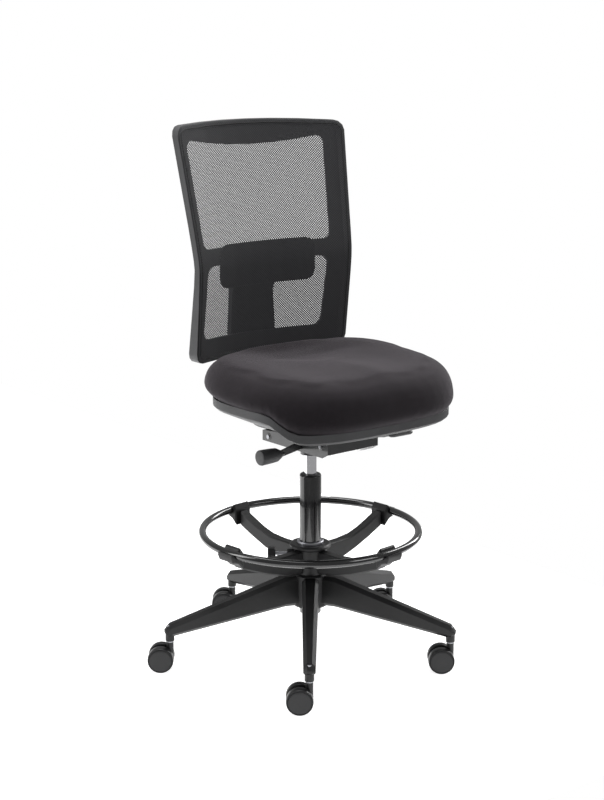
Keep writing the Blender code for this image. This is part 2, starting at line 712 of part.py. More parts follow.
def build_foot_ring():
    collet_inside = TUBE_RADIUS + REST_GAP
    collet_outside = collet_inside + COLLET_WALL
    lip_under = SPIDER_FLANGE_TOP + REST_GAP
    smooth(turned("footring_collet", [
        (collet_outside + 0.0015, lip_under + 0.006),
        (collet_outside + 0.0030, lip_under + 0.0045),
        (collet_outside + 0.0030, lip_under),
        (collet_outside, lip_under),
        (collet_outside, SPIDER_UNDER + 0.001),
        (collet_inside, SPIDER_UNDER + 0.001),
        (collet_inside, lip_under + 0.006),
    ], STEEL, CHAIR_DATUM, steps=28))

    bore = collet_outside + REST_GAP
    spider = turned("footring_spider", [
        (SPIDER_FLANGE_RADIUS - 0.004, SPIDER_FLANGE_TOP),
        (SPIDER_FLANGE_RADIUS, SPIDER_FLANGE_TOP - 0.003),
        (SPIDER_FLANGE_RADIUS, SPIDER_FLANGE_TOP - 0.007),
        (SPIDER_NECK_RADIUS + 0.003, SPIDER_FLANGE_TOP - 0.012),
        (SPIDER_NECK_RADIUS, SPIDER_FLANGE_TOP - 0.020),
        (SPIDER_NECK_RADIUS - 0.001, SPIDER_UNDER),
        (bore, SPIDER_UNDER),
        (bore, SPIDER_FLANGE_TOP),
    ], BLACK_NYLON, CHAIR_DATUM, steps=28)

    clip_inner = RING_RADIUS - 0.0190
    top_places = [0.034, 0.095, 0.135, 0.165, 0.195, clip_inner - REST_GAP]
    under_places = [clip_inner - REST_GAP, 0.190, 0.145, 0.095, 0.034]
    arm_loop = [(reach, arm_top(reach)) for reach in top_places]
    arm_loop += [(reach, arm_under(reach)) for reach in under_places]
    clip_loop = [
        (clip_inner, arm_top(clip_inner) + 0.003),
        (clip_inner, arm_under(clip_inner) + 0.002),
        (RING_RADIUS - 0.004, RING_HEIGHT - 0.0200),
        (RING_RADIUS + 0.012, RING_HEIGHT - 0.0150),
        (RING_RADIUS + 0.0165, RING_HEIGHT - 0.004),
        (RING_RADIUS + 0.0155, RING_HEIGHT + 0.0035),
        (RING_RADIUS + 0.0080, RING_HEIGHT + 0.0020),
        (RING_RADIUS, RING_HEIGHT),
        (RING_RADIUS - 0.0060, RING_HEIGHT + 0.0125),
        (RING_RADIUS - 0.0100, RING_HEIGHT + 0.0150),
    ]
    channel = tool("ring_channel", ring_mesh("ring_channel", RING_TUBE_RADIUS + RUN_GAP),
                   CHAIR_DATUM)
    for index in range(ARM_COUNT):
        turn = BASE_TURN - math.pi / 4 + math.tau * index / ARM_COUNT
        upright = Matrix.Rotation(math.pi / 2, 4, "X")
        arm_form = outline_mesh("arm", [arm_loop], ARM_THICKNESS)
        arm_form.transform(upright)
        arm = tool(f"arm_form_{index + 1}", arm_form, CHAIR_DATUM)
        arm.rotation_euler.z = turn
        bevel(arm, 0.0035, segments=1, angle=50.0)
        join(spider, arm)
        clip_form = outline_mesh("clip", [clip_loop], CLIP_WIDTH, soft_edge=0.003)
        clip_form.transform(upright)
        clip = piece(f"footring_clip_{index + 1}", clip_form, BLACK_NYLON, CHAIR_DATUM)
        clip.rotation_euler.z = turn
        cut(clip, channel)
        smooth(clip)

    stud_turn = BASE_TURN - math.pi
    stud_way = Vector((math.cos(stud_turn), math.sin(stud_turn), 0.0))
    height = Vector((0.0, 0.0, KNOB_HEIGHT))
    boss_end = SPIDER_NECK_RADIUS + 0.016
    boss = tool("stud_boss_form", rod_mesh(
        "stud_boss", stud_way * (bore + 0.002) + height, stud_way * boss_end + height, 0.011,
        segments=20,
    ), CHAIR_DATUM)
    join(spider, boss)
    well = tool("spider_bore", rod_mesh(
        "spider_bore", (0.0, 0.0, SPIDER_UNDER - 0.02), (0.0, 0.0, SPIDER_FLANGE_TOP + 0.02),
        bore, segments=28), CHAIR_DATUM)
    stud_hole = tool("stud_hole", rod_mesh(
        "stud_hole", stud_way * (bore - 0.004) + height, stud_way * (boss_end + 0.01) + height,
        STUD_RADIUS + RUN_GAP, segments=16,
    ), CHAIR_DATUM)
    cut(spider, well, stud_hole)
    smooth(spider)

    smooth(piece("foot_ring", ring_mesh("foot_ring", RING_TUBE_RADIUS), GLOSS_BLACK, CHAIR_DATUM), 60)

    knob_axis = empty("footring_knob_axis", CHAIR_DATUM, (0.0, 0.0, KNOB_HEIGHT),
                      stud_way.to_track_quat("Z", "Y").to_euler())
    knob_near = KNOB_REACH - KNOB_LENGTH / 2
    stud_mesh = rod_mesh("stud", (0.0, 0.0, bore + 0.0006), (0.0, 0.0, knob_near + 0.008),
                         STUD_RADIUS, segments=16)
    smooth(piece("footring_knob_stud", stud_mesh, STEEL, knob_axis))
    lobes = 6
    knob_loop = []
    for step in range(lobes * 4):
        turn = math.tau * step / (lobes * 4)
        reach = KNOB_RADIUS - 0.0022 * (0.5 - 0.5 * math.cos(lobes * turn))
        knob_loop.append((reach * math.cos(turn), reach * math.sin(turn)))
    knob_mesh = outline_mesh("knob", [knob_loop], KNOB_LENGTH, soft_edge=0.002)
    knob = piece("footring_knob", knob_mesh, BLACK_NYLON, knob_axis)
    knob.location.z = KNOB_REACH
    socket = tool("knob_socket", rod_mesh(
        "knob_socket", (0.0, 0.0, knob_near - 0.01), (0.0, 0.0, knob_near + 0.008 + REST_GAP),
        STUD_RADIUS + REST_GAP, segments=16,
    ), knob_axis)
    cut(knob, socket)
    smooth(knob)


def ring_mesh(name, tube_radius):
    """The foot ring's tube: a round section carried once round the column."""
    bm = bmesh.new()
    sides = 8
    steps = 52
    section = []
    for side in range(sides):
        turn = math.tau * side / sides
        place = (RING_RADIUS + tube_radius * math.cos(turn), 0.0,
                 RING_HEIGHT + tube_radius * math.sin(turn))
        section.append(bm.verts.new(place))
    rim = [bm.edges.new((section[side], section[(side + 1) % sides])) for side in range(sides)]
    bmesh.ops.spin(bm, geom=rim + section, cent=(0.0, 0.0, 0.0), axis=(0.0, 0.0, 1.0),
                   angle=math.tau, steps=steps, use_merge=True)
    bmesh.ops.remove_doubles(bm, verts=bm.verts, dist=0.00002)
    bmesh.ops.recalc_face_normals(bm, faces=bm.faces)
    return mesh_from(bm, name)


# ---------------------------------------------------------------- mechanism
def wall_top(along):
    """Height of the housing's sloping upper edge."""
    share = (along - HOUSING_FRONT) / (HOUSING_REAR - HOUSING_FRONT)
    return HOUSING_TOP_FRONT + (HOUSING_TOP_REAR - HOUSING_TOP_FRONT) * share


def side_form(name, loop, half_width, middle=0.0):
    """A solid drawn in side view as (y, z) points and given a width along X."""
    mesh = outline_mesh(name, [loop], 2 * half_width)
    stand = Matrix(((0.0, 0.0, 1.0, middle), (1.0, 0.0, 0.0, 0.0),
                    (0.0, 1.0, 0.0, 0.0), (0.0, 0.0, 0.0, 1.0)))
    mesh.transform(stand)
    return mesh


def front_form(name, loop, half_depth, middle):
    """A solid drawn in front view as (x, z) points and given a depth along Y."""
    mesh = outline_mesh(name, [loop], 2 * half_depth)
    stand = Matrix(((1.0, 0.0, 0.0, 0.0), (0.0, 0.0, -1.0, middle),
                    (0.0, 1.0, 0.0, 0.0), (0.0, 0.0, 0.0, 1.0)))
    mesh.transform(stand)
    return mesh


def build_housing():
    outer = [
        (HOUSING_FRONT, wall_top(HOUSING_FRONT)),
        (HOUSING_FRONT, HOUSING_UNDER + 0.010),
        (HOUSING_FRONT + 0.018, HOUSING_UNDER),
        (HOUSING_REAR, HOUSING_UNDER),
        (HOUSING_REAR, wall_top(HOUSING_REAR)),
    ]
    housing = piece("mechanism_housing", side_form("housing", outer, HOUSING_HALF_WIDTH),
                    BLACK_STEEL, CHAIR_DATUM)
    floor = HOUSING_UNDER + HOUSING_WALL
    front = HOUSING_FRONT + HOUSING_WALL
    rear = HOUSING_REAR - HOUSING_WALL
    inner = [
        (front, HOUSING_TOP_FRONT + 0.02),
        (front, floor + 0.009),
        (front + 0.016, floor),
        (rear, floor),
        (rear, HOUSING_TOP_FRONT + 0.02),
    ]
    hollow = tool("housing_hollow", side_form(
        "housing_hollow", inner, HOUSING_HALF_WIDTH - HOUSING_WALL), CHAIR_DATUM)
    cut(housing, hollow)
    boss = tool("boss_form", rod_mesh("boss", (0.0, 0.0, BOSS_UNDER), (0.0, 0.0, BOSS_TOP),
                                      BOSS_RADIUS, segments=24), CHAIR_DATUM)
    lever_x, lever_z = LEVER_PIVOT
    bracket = tool("lever_bracket_form", box_mesh(
        "lever_bracket", (lever_x - 0.006, LEVER_Y - 0.011, HOUSING_UNDER + 0.001),
        (lever_x + 0.006, LEVER_Y + 0.011, lever_z + 0.006)), CHAIR_DATUM)
    rib_x = HOUSING_HALF_WIDTH - 0.030
    rib = tool("tilt_rib_form", box_mesh(
        "tilt_rib", (rib_x - 0.003, LEVER_Y - 0.010, HOUSING_UNDER + 0.001),
        (rib_x + 0.003, LEVER_Y + 0.010, TILT_ROD_HEIGHT + 0.009)), CHAIR_DATUM)
    join(housing, boss, bracket, rib)

    bore = tool("cylinder_bore", rod_mesh(
        "cylinder_bore", (0.0, 0.0, BOSS_UNDER - 0.01), (0.0, 0.0, BOSS_TOP + 0.01),
        CYLINDER_RADIUS + REST_GAP, segments=24), CHAIR_DATUM)
    slot_half = LEVER_THICKNESS / 2 + 0.001
    fork_slot = tool("lever_fork_slot", box_mesh(
        "lever_fork_slot", (lever_x - 0.02, LEVER_Y - slot_half, HOUSING_UNDER + HOUSING_WALL),
        (lever_x + 0.02, LEVER_Y + slot_half, lever_z + 0.02)), CHAIR_DATUM)
    pin_hole = tool("lever_pin_hole", rod_mesh(
        "lever_pin_hole", (lever_x, LEVER_Y - 0.03, lever_z), (lever_x, LEVER_Y + 0.03, lever_z),
        0.0025 + REST_GAP, segments=12), CHAIR_DATUM)
    wall_slot = tool("lever_wall_slot", box_mesh(
        "lever_wall_slot",
        (-HOUSING_HALF_WIDTH - 0.01, LEVER_Y - 0.006, HOUSING_UNDER + 0.006),
        (-HOUSING_HALF_WIDTH + 0.01, LEVER_Y + 0.006, HOUSING_UNDER + 0.030)), CHAIR_DATUM)
    rod_hole = tool("tilt_rod_hole", rod_mesh(
        "tilt_rod_hole", (rib_x - 0.01, LEVER_Y, TILT_ROD_HEIGHT),
        (HOUSING_HALF_WIDTH + 0.01, LEVER_Y, TILT_ROD_HEIGHT),
        TILT_ROD_RADIUS + RUN_GAP, segments=16), CHAIR_DATUM)
    wide = HOUSING_HALF_WIDTH + 0.02
    seat_hole = tool("seat_pin_hole", rod_mesh(
        "seat_pin_hole", (-wide, *SEAT_PIVOT), (wide, *SEAT_PIVOT),
        SEAT_PIN_RADIUS + REST_GAP, segments=12), CHAIR_DATUM)
    back_hole = tool("back_pin_hole", rod_mesh(
        "back_pin_hole", (-wide, *BACK_PIVOT), (wide, *BACK_PIVOT),
        BACK_PIN_RADIUS + REST_GAP, segments=12), CHAIR_DATUM)
    bar_way = tool("bar_way", box_mesh(
        "bar_way", (-BAR_HALF_WIDTH - 0.004, BACK_PIVOT[0] + 0.004, HOUSING_UNDER - 0.01),
        (BAR_HALF_WIDTH + 0.004, HOUSING_REAR + 0.01, HOUSING_TOP_FRONT)), CHAIR_DATUM)
    cut(housing, bore, fork_slot, pin_hole, wall_slot, rod_hole, seat_hole, back_hole, bar_way)

    for name, place, radius in (("seat_pivot_pin", SEAT_PIVOT, SEAT_PIN_RADIUS),
                                ("back_pivot_pin", BACK_PIVOT, BACK_PIN_RADIUS)):
        reach = HOUSING_HALF_WIDTH + 0.003
        pin_mesh = rod_mesh(name, (-reach, *place), (reach, *place), radius, segments=12)
        smooth(piece(name, pin_mesh, STEEL, CHAIR_DATUM))
    pin_mesh = rod_mesh("lever_pin", (lever_x, LEVER_Y - 0.0105, lever_z),
                        (lever_x, LEVER_Y + 0.0105, lever_z), 0.0025, segments=12)
    smooth(piece("height_lever_pin", pin_mesh, STEEL, CHAIR_DATUM))

    coil = BACK_PIN_RADIUS + 0.0010 + SPRING_WIRE
    steps = 8
    pitch = 2 * SPRING_WIRE + 0.0012
    points = []
    for step in range(SPRING_TURNS * steps + 1):
        turn = math.tau * step / steps
        points.append((BAR_HALF_WIDTH + 0.010 + pitch * step / steps,
                       BACK_PIVOT[0] + coil * math.cos(turn),
                       BACK_PIVOT[1] + coil * math.sin(turn)))
    smooth(piece("tilt_spring", path_mesh("tilt_spring", points, SPRING_WIRE, resolution=1),
                 STEEL, CHAIR_DATUM), 60)


def build_height_lever():
    lever_x, lever_z = LEVER_PIVOT
    axis = empty("height_lever_axis", CHAIR_DATUM, (lever_x, LEVER_Y, lever_z))
    low = BUTTON_TOP + 2 * REST_GAP
    tip = BUTTON_RADIUS - 0.0005
    neck = HANDLE_TIP + HANDLE_LENGTH
    loop = [
        (tip, low + 0.006),
        (lever_x + 0.004, lever_z + 0.0080),
        (lever_x - 0.008, lever_z + 0.0072),
        (-HOUSING_HALF_WIDTH, HOUSING_UNDER + 0.0245),
        (neck - 0.002, HANDLE_HEIGHT + 0.0075),
        (neck - 0.002, HANDLE_HEIGHT - 0.0065),
        (-HOUSING_HALF_WIDTH - 0.012, HOUSING_UNDER + 0.0050),
        (-HOUSING_HALF_WIDTH + 0.004, HOUSING_UNDER + 0.0088),
        (lever_x - 0.006, lever_z - 0.0065),
        (lever_x + 0.008, lever_z - 0.0050),
        (-BUTTON_RADIUS, low),
        (tip, low),
    ]
    mesh = front_form("height_lever", loop, LEVER_THICKNESS / 2, LEVER_Y)
    mesh.transform(Matrix.Translation((-lever_x, -LEVER_Y, -lever_z)))
    lever = piece("height_lever", mesh, BLACK_STEEL, axis)
    finger = tool("lever_finger_form", box_mesh(
        "lever_finger", (-BUTTON_RADIUS, LEVER_Y - LEVER_THICKNESS / 2 + 0.0005, low + 0.0002),
        (tip - 0.0002, BUTTON_RADIUS, low + 0.0055)), CHAIR_DATUM)
    tang_end = neck - 0.036
    tang = tool("lever_tang_form", rod_mesh(
        "lever_tang", (neck + 0.006, LEVER_Y, HANDLE_HEIGHT), (tang_end, LEVER_Y, HANDLE_HEIGHT),
        0.0050, segments=16), CHAIR_DATUM)
    join(lever, finger, tang)
    hole = tool("lever_pivot_hole", rod_mesh(
        "lever_pivot_hole", (lever_x, LEVER_Y - 0.02, lever_z), (lever_x, LEVER_Y + 0.02, lever_z),
        0.0025 + REST_GAP, segments=12), CHAIR_DATUM)
    cut(lever, hole)

    grip_axis = empty("handle_axis", axis,
                      (HANDLE_TIP - lever_x, 0.0, HANDLE_HEIGHT - lever_z),
                      (0.0, -math.pi / 2, 0.0))
    mouth = -HANDLE_LENGTH + 0.003
    bore = 0.0050 + REST_GAP
    bore_end = HANDLE_TIP - tang_end + REST_GAP
    smooth(turned("height_lever_handle", [
        (0.0, 0.0),
        (HANDLE_RADIUS - 0.0035, 0.0),
        (HANDLE_RADIUS - 0.0010, -0.0012),
        (HANDLE_RADIUS, -0.0040),
        (HANDLE_RADIUS - 0.0008, -0.0300),
        (HANDLE_RADIUS - 0.0020, -0.0460),
        (HANDLE_RADIUS - 0.0060, -0.0540),
        (0.0090, mouth),
        (bore, mouth),
        (bore, bore_end),
        (0.0, bore_end),
    ], GREY_PLASTIC, grip_axis, steps=24, closed=False))


def build_tilt_lever():
    axis = empty("tilt_lever_axis", CHAIR_DATUM, (0.0, LEVER_Y, TILT_ROD_HEIGHT))
    drop = PADDLE_HEIGHT - TILT_ROD_HEIGHT
    inner_end = HOUSING_HALF_WIDTH - 0.040
    straight_end = HOUSING_HALF_WIDTH + 0.022
    points = [
        (inner_end, 0.0, 0.0),
        (straight_end, 0.0, 0.0),
        (straight_end + 0.012, 0.0, drop * 0.12),
        (PADDLE_INNER - 0.030, 0.0, drop * 0.86),
        (PADDLE_INNER - 0.014, 0.0, drop),
        (PADDLE_INNER + 0.030, 0.0, drop),
    ]
    rod = piece("tilt_lever", path_mesh("tilt_lever", points, TILT_ROD_RADIUS, resolution=2),
                BLACK_STEEL, axis)
    finger = tool("tilt_finger_form", box_mesh(
        "tilt_finger", (inner_end - 0.002, -0.006, -0.0035), (inner_end + 0.003, 0.014, 0.0035)),
        axis)
    join(rod, finger)
    smooth(rod)
    half = PADDLE_DEPTH / 2
    middle = (PADDLE_INNER + PADDLE_TIP) / 2
    reach = (PADDLE_TIP - PADDLE_INNER) / 2
    paddle_mesh = outline_mesh("paddle", [rounded_loop(reach, half, 0.013, steps=5)],
                               PADDLE_THICKNESS, soft_edge=0.003)
    for vert in paddle_mesh.vertices:
        taper = blend(-vert.co.x, -reach * 0.2, reach)
        vert.co.y *= 1.0 - 0.35 * taper
        vert.co.z *= 1.0 + 0.25 * taper
    paddle = piece("tilt_lever_paddle", paddle_mesh, GREY_PLASTIC, axis)
    paddle.location = (middle, 0.0, drop)
    socket = tool("paddle_socket", rod_mesh(
        "paddle_socket", (PADDLE_INNER - 0.02, 0.0, drop),
        (PADDLE_INNER + 0.030 + REST_GAP, 0.0, drop), TILT_ROD_RADIUS - 0.0010, segments=16), axis)
    cut(paddle, socket)
    tang = tool("rod_tang", box_mesh(
        "rod_tang", (PADDLE_INNER - 0.0006, -0.01, drop - 0.01), (PADDLE_INNER + 0.04, 0.01, drop + 0.01)),
        axis)
    cut(rod, tang)
    core = tool("rod_core", rod_mesh(
        "rod_core", (PADDLE_INNER - 0.012, 0.0, drop), (PADDLE_INNER + 0.029, 0.0, drop),
        TILT_ROD_RADIUS - 0.0014, segments=16), axis)
    join(rod, core)
    smooth(paddle)


# ---------------------------------------------------------------- seat
def front_dip(along):
    """How far the seat's edge drops towards the front, as an S-bend along each side."""
    return -FRONT_DIP * blend(-along, FRONT_DIP_START, FRONT_DIP_END)


def seat_rise(along):
    """Slope of the cushion from front to rear."""
    return SEAT_RISE * (along - SEAT_Y) / SEAT_HALF_DEPTH


def rounded_square(half_width, half_depth, roundness, middle):
    """A closed outline between an ellipse and a rectangle, anticlockwise."""
    power = 2.0 / roundness
    loop = []
    for step in range(SEAT_POINTS):
        turn = math.tau * (step + 0.5) / SEAT_POINTS
        across = math.copysign(abs(math.cos(turn)) ** power, math.cos(turn))
        along = math.copysign(abs(math.sin(turn)) ** power, math.sin(turn))
        loop.append((half_width * across, middle + half_depth * along))
    return loop


def rings_mesh(name, rings, closed):
    """Skin a stack of outlines that have the same number of points."""
    bm = bmesh.new()
    rows = []
    for loop, height in rings:
        rows.append([bm.verts.new((across, along, height(across, along)))
                     for across, along in loop])
    for lower, upper in zip(rows, rows[1:]):
        for index in range(len(lower)):
            after = (index + 1) % len(lower)
            bm.faces.new((lower[index], lower[after], upper[after], upper[index]))
    floor = bm.faces.new(list(reversed(rows[0])))
    bmesh.ops.triangulate(bm, faces=[floor])
    if closed:
        lid = bm.faces.new(rows[-1])
        bmesh.ops.poke(bm, faces=[lid])
    return mesh_from(bm, name)


def build_seat():
    axis = empty("seat_tilt_axis", CHAIR_DATUM, (0.0, *SEAT_PIVOT))
    home = Matrix.Translation((0.0, -SEAT_PIVOT[0], -SEAT_PIVOT[1]))

    plate_top = PLATE_UNDER + PLATE_THICKNESS
    plate_mesh = box_mesh("seat_plate", (-PLATE_HALF_WIDTH, PLATE_FRONT, PLATE_UNDER),
                          (PLATE_HALF_WIDTH, PLATE_REAR, plate_top))
    plate_mesh.transform(home)
    plate = piece("seat_plate", plate_mesh, BLACK_STEEL, axis)
    ear_outer = HOUSING_HALF_WIDTH - HOUSING_WALL - 0.0035
    ear_low = SEAT_PIVOT[1] - 0.009
    for side in (-1, 1):
        near, far = sorted((side * ear_outer, side * (ear_outer - 0.003)))
        ear = tool("ear_form", box_mesh(
            "ear", (near, SEAT_PIVOT[0] - 0.014, ear_low),
            (far, SEAT_PIVOT[0] + 0.014, PLATE_UNDER + 0.001)), CHAIR_DATUM)
        join(plate, ear)
    ear_hole = tool("ear_hole", rod_mesh(
        "ear_hole", (-0.09, *SEAT_PIVOT), (0.09, *SEAT_PIVOT),
        SEAT_PIN_RADIUS + RUN_GAP, segments=16), CHAIR_DATUM)
    cut(plate, ear_hole)

    def shell_ring(inset):
        return rounded_square(SHELL_HALF_WIDTH - inset, SHELL_HALF_DEPTH - inset,
                              SHELL_ROUNDNESS, SHELL_Y)

    def seat_ring(inset):
        return rounded_square(SEAT_HALF_WIDTH - inset, SEAT_HALF_DEPTH - inset,
                              SEAT_ROUNDNESS, SEAT_Y)

    def edge(height, dip=1.0, rise=0.0):
        """Height along an outline that follows the front dip and the rear rise."""
        return lambda x, y: height + front_dip(y) * dip + seat_rise(y) * rise

    wall = SHELL_WALL
    floor_under = plate_top + REST_GAP
    shell_mesh = rings_mesh("seat_shell", [
        (shell_ring(SHELL_FLOOR_INSET), edge(floor_under, dip=0.0)),
        (shell_ring(0.006), edge(SHELL_RIM_UNDER)),
        (shell_ring(0.0), edge(SHELL_RIM_UNDER + 0.006)),
        (shell_ring(0.0), edge(SHELL_RIM_TOP)),
    ], closed=False)
    shell_mesh.transform(home)
    shell = piece("seat_shell", shell_mesh, GREY_PLASTIC, axis)
    thick = shell.modifiers.new("wall", "SOLIDIFY")
    thick.thickness = wall
    thick.offset = -1.0
    thick.use_even_offset = True
    smooth(shell)

    board_under = floor_under + wall + REST_GAP
    board_top = board_under + BOARD_THICKNESS
    board_mesh = rings_mesh("seat_board", [
        (shell_ring(BOARD_INSET), edge(board_under, dip=0.0)),
        (shell_ring(BOARD_INSET), edge(board_top, dip=0.0)),
    ], closed=True)
    board_mesh.transform(home)
    piece("seat_board", board_mesh, PLYWOOD, axis)

    seam = SHELL_RIM_TOP + REST_GAP
    shoulder = (seam + CUSHION_TOP) / 2

    def crown(across, along):
        dish = CUSHION_DISH * (1.0 - blend(math.hypot(across / 0.9, along - 0.02), 0.05, 0.19))
        return CUSHION_TOP - dish + seat_rise(along)

    cushion_rings = [
        (shell_ring(CUSHION_TUCK), edge(board_top + REST_GAP, dip=0.0)),
        (shell_ring(wall + 0.0020), edge(SHELL_RIM_UNDER + wall * 3)),
        (shell_ring(wall + 0.0015), edge(seam)),
        (seat_ring(0.011), edge(seam + 0.002)),
        (seat_ring(0.003), edge(seam + 0.007, dip=0.9)),
        (seat_ring(0.0), edge(seam + 0.016, dip=0.6, rise=0.6)),
        (seat_ring(0.004), edge(shoulder, dip=0.3, rise=0.9)),
        (seat_ring(0.013), edge(CUSHION_TOP - 0.021, dip=0.15, rise=1.0)),
        (seat_ring(0.028), edge(CUSHION_TOP - 0.009, dip=0.08, rise=1.0)),
        (seat_ring(0.050), edge(CUSHION_TOP - 0.002, dip=0.0, rise=1.0)),
        (seat_ring(0.080), crown),
        (seat_ring(0.130), crown),
    ]
    cushion_mesh = rings_mesh("seat_cushion", cushion_rings, closed=True)
    cushion_mesh.transform(home)
    smooth(piece("seat_cushion", cushion_mesh, FABRIC, axis), 60)


# ---------------------------------------------------------------- back
def half_width(height):
    """Outer half-width of the back: nearly upright below the bend, flaring above it."""
    rise = height - BACK_BEND
    return 0.2214 + 0.0365 * rise + 0.0265 * math.hypot(rise, 0.02)


def front_line(height):
    """Y of the front of the side rails: leaning forward up to the bend, then back."""
    rise = height - BACK_BEND
    return 0.1126 + 0.046 * rise + 0.14 * math.hypot(rise, 0.02)


def back_front(across, height):
    """Y of the back's front surface, bowed backwards in the middle."""
    share = min(abs(across) / half_width(height), 1.0)
    return front_line(height) + BACK_BOW * (1.0 - share ** 2)


def frame_depth(height):
    """Front to rear of the frame."""
    if height > BACK_BEND:
        share = blend(height, BACK_BEND, BACK_TOP)
        return FRAME_DEPTH_BEND + (FRAME_DEPTH_TOP - FRAME_DEPTH_BEND) * share
    share = blend(BACK_BEND - height, 0.0, BACK_BEND - BACK_UNDER)
    return FRAME_DEPTH_BEND + (FRAME_DEPTH_UNDER - FRAME_DEPTH_BEND) * share


def back_loop(low, high, inset, corner, arch=0.0, steps=3):
    """An outline inside the back's edge between two heights, as (x, z) points."""
    def edge(height):
        return half_width(height) - inset

    right = []
    for step in range(steps + 1):
        turn = math.radians(-90.0 + 90.0 * step / steps)
        right.append((edge(low + corner) - corner + corner * math.cos(turn),
                      low + corner + corner * math.sin(turn)))
    stations = max(1, round((high - low) / 0.13))
    right += [(edge(height), height) for height in spread(low + corner, high - corner, stations)]
    for step in range(steps + 1):
        turn = math.radians(90.0 * step / steps)
        right.append((edge(high - corner) - corner + corner * math.cos(turn),
                      high - corner + corner * math.sin(turn)))
    left = [(-place[0], place[1]) for place in reversed(right)]
    if arch == 0.0:
        return right + left
    across = right[-1][0]
    shares = (0.66, 0.33, 0.0, -0.33, -0.66)
    top = [(across * share, high + arch * (1.0 - share ** 2)) for share in shares]
    return right + top + left


def bend_back(mesh, columns, rows):
    """Cut a flat back piece into strips and lay it on the back's curved surface.

    A flat piece lies in XZ, and its Y runs from 0 at the front to 1 at the frame's rear.
    """
    slice_up(mesh, 0, columns)
    slice_up(mesh, 2, rows)
    triangulate(mesh)
    for vert in mesh.vertices:
        across = vert.co.x
        height = vert.co.z
        vert.co.y = back_front(across, height) + vert.co.y * frame_depth(height)


def flat_back(name, loops, near, far):
    """A flat back piece between two shares of the frame's depth."""
    mesh = outline_mesh(name, loops, far - near)
    stand = Matrix(((1.0, 0.0, 0.0, 0.0), (0.0, 0.0, 1.0, (near + far) / 2),
                    (0.0, 1.0, 0.0, 0.0), (0.0, 0.0, 0.0, 1.0)))
    mesh.transform(stand)
    bm = bmesh.new()
    bm.from_mesh(mesh)
    bmesh.ops.recalc_face_normals(bm, faces=bm.faces)
    bm.to_mesh(mesh)
    bm.free()
    return mesh


BEND_COLUMNS = [sign * place for place in (0.045, 0.095, 0.145) for sign in (-1, 1)]
BEND_COLUMNS.append(0.0)
BEND_ROWS = [BACK_BEND - 0.045, BACK_BEND - 0.012, BACK_BEND + 0.012, BACK_BEND + 0.045]


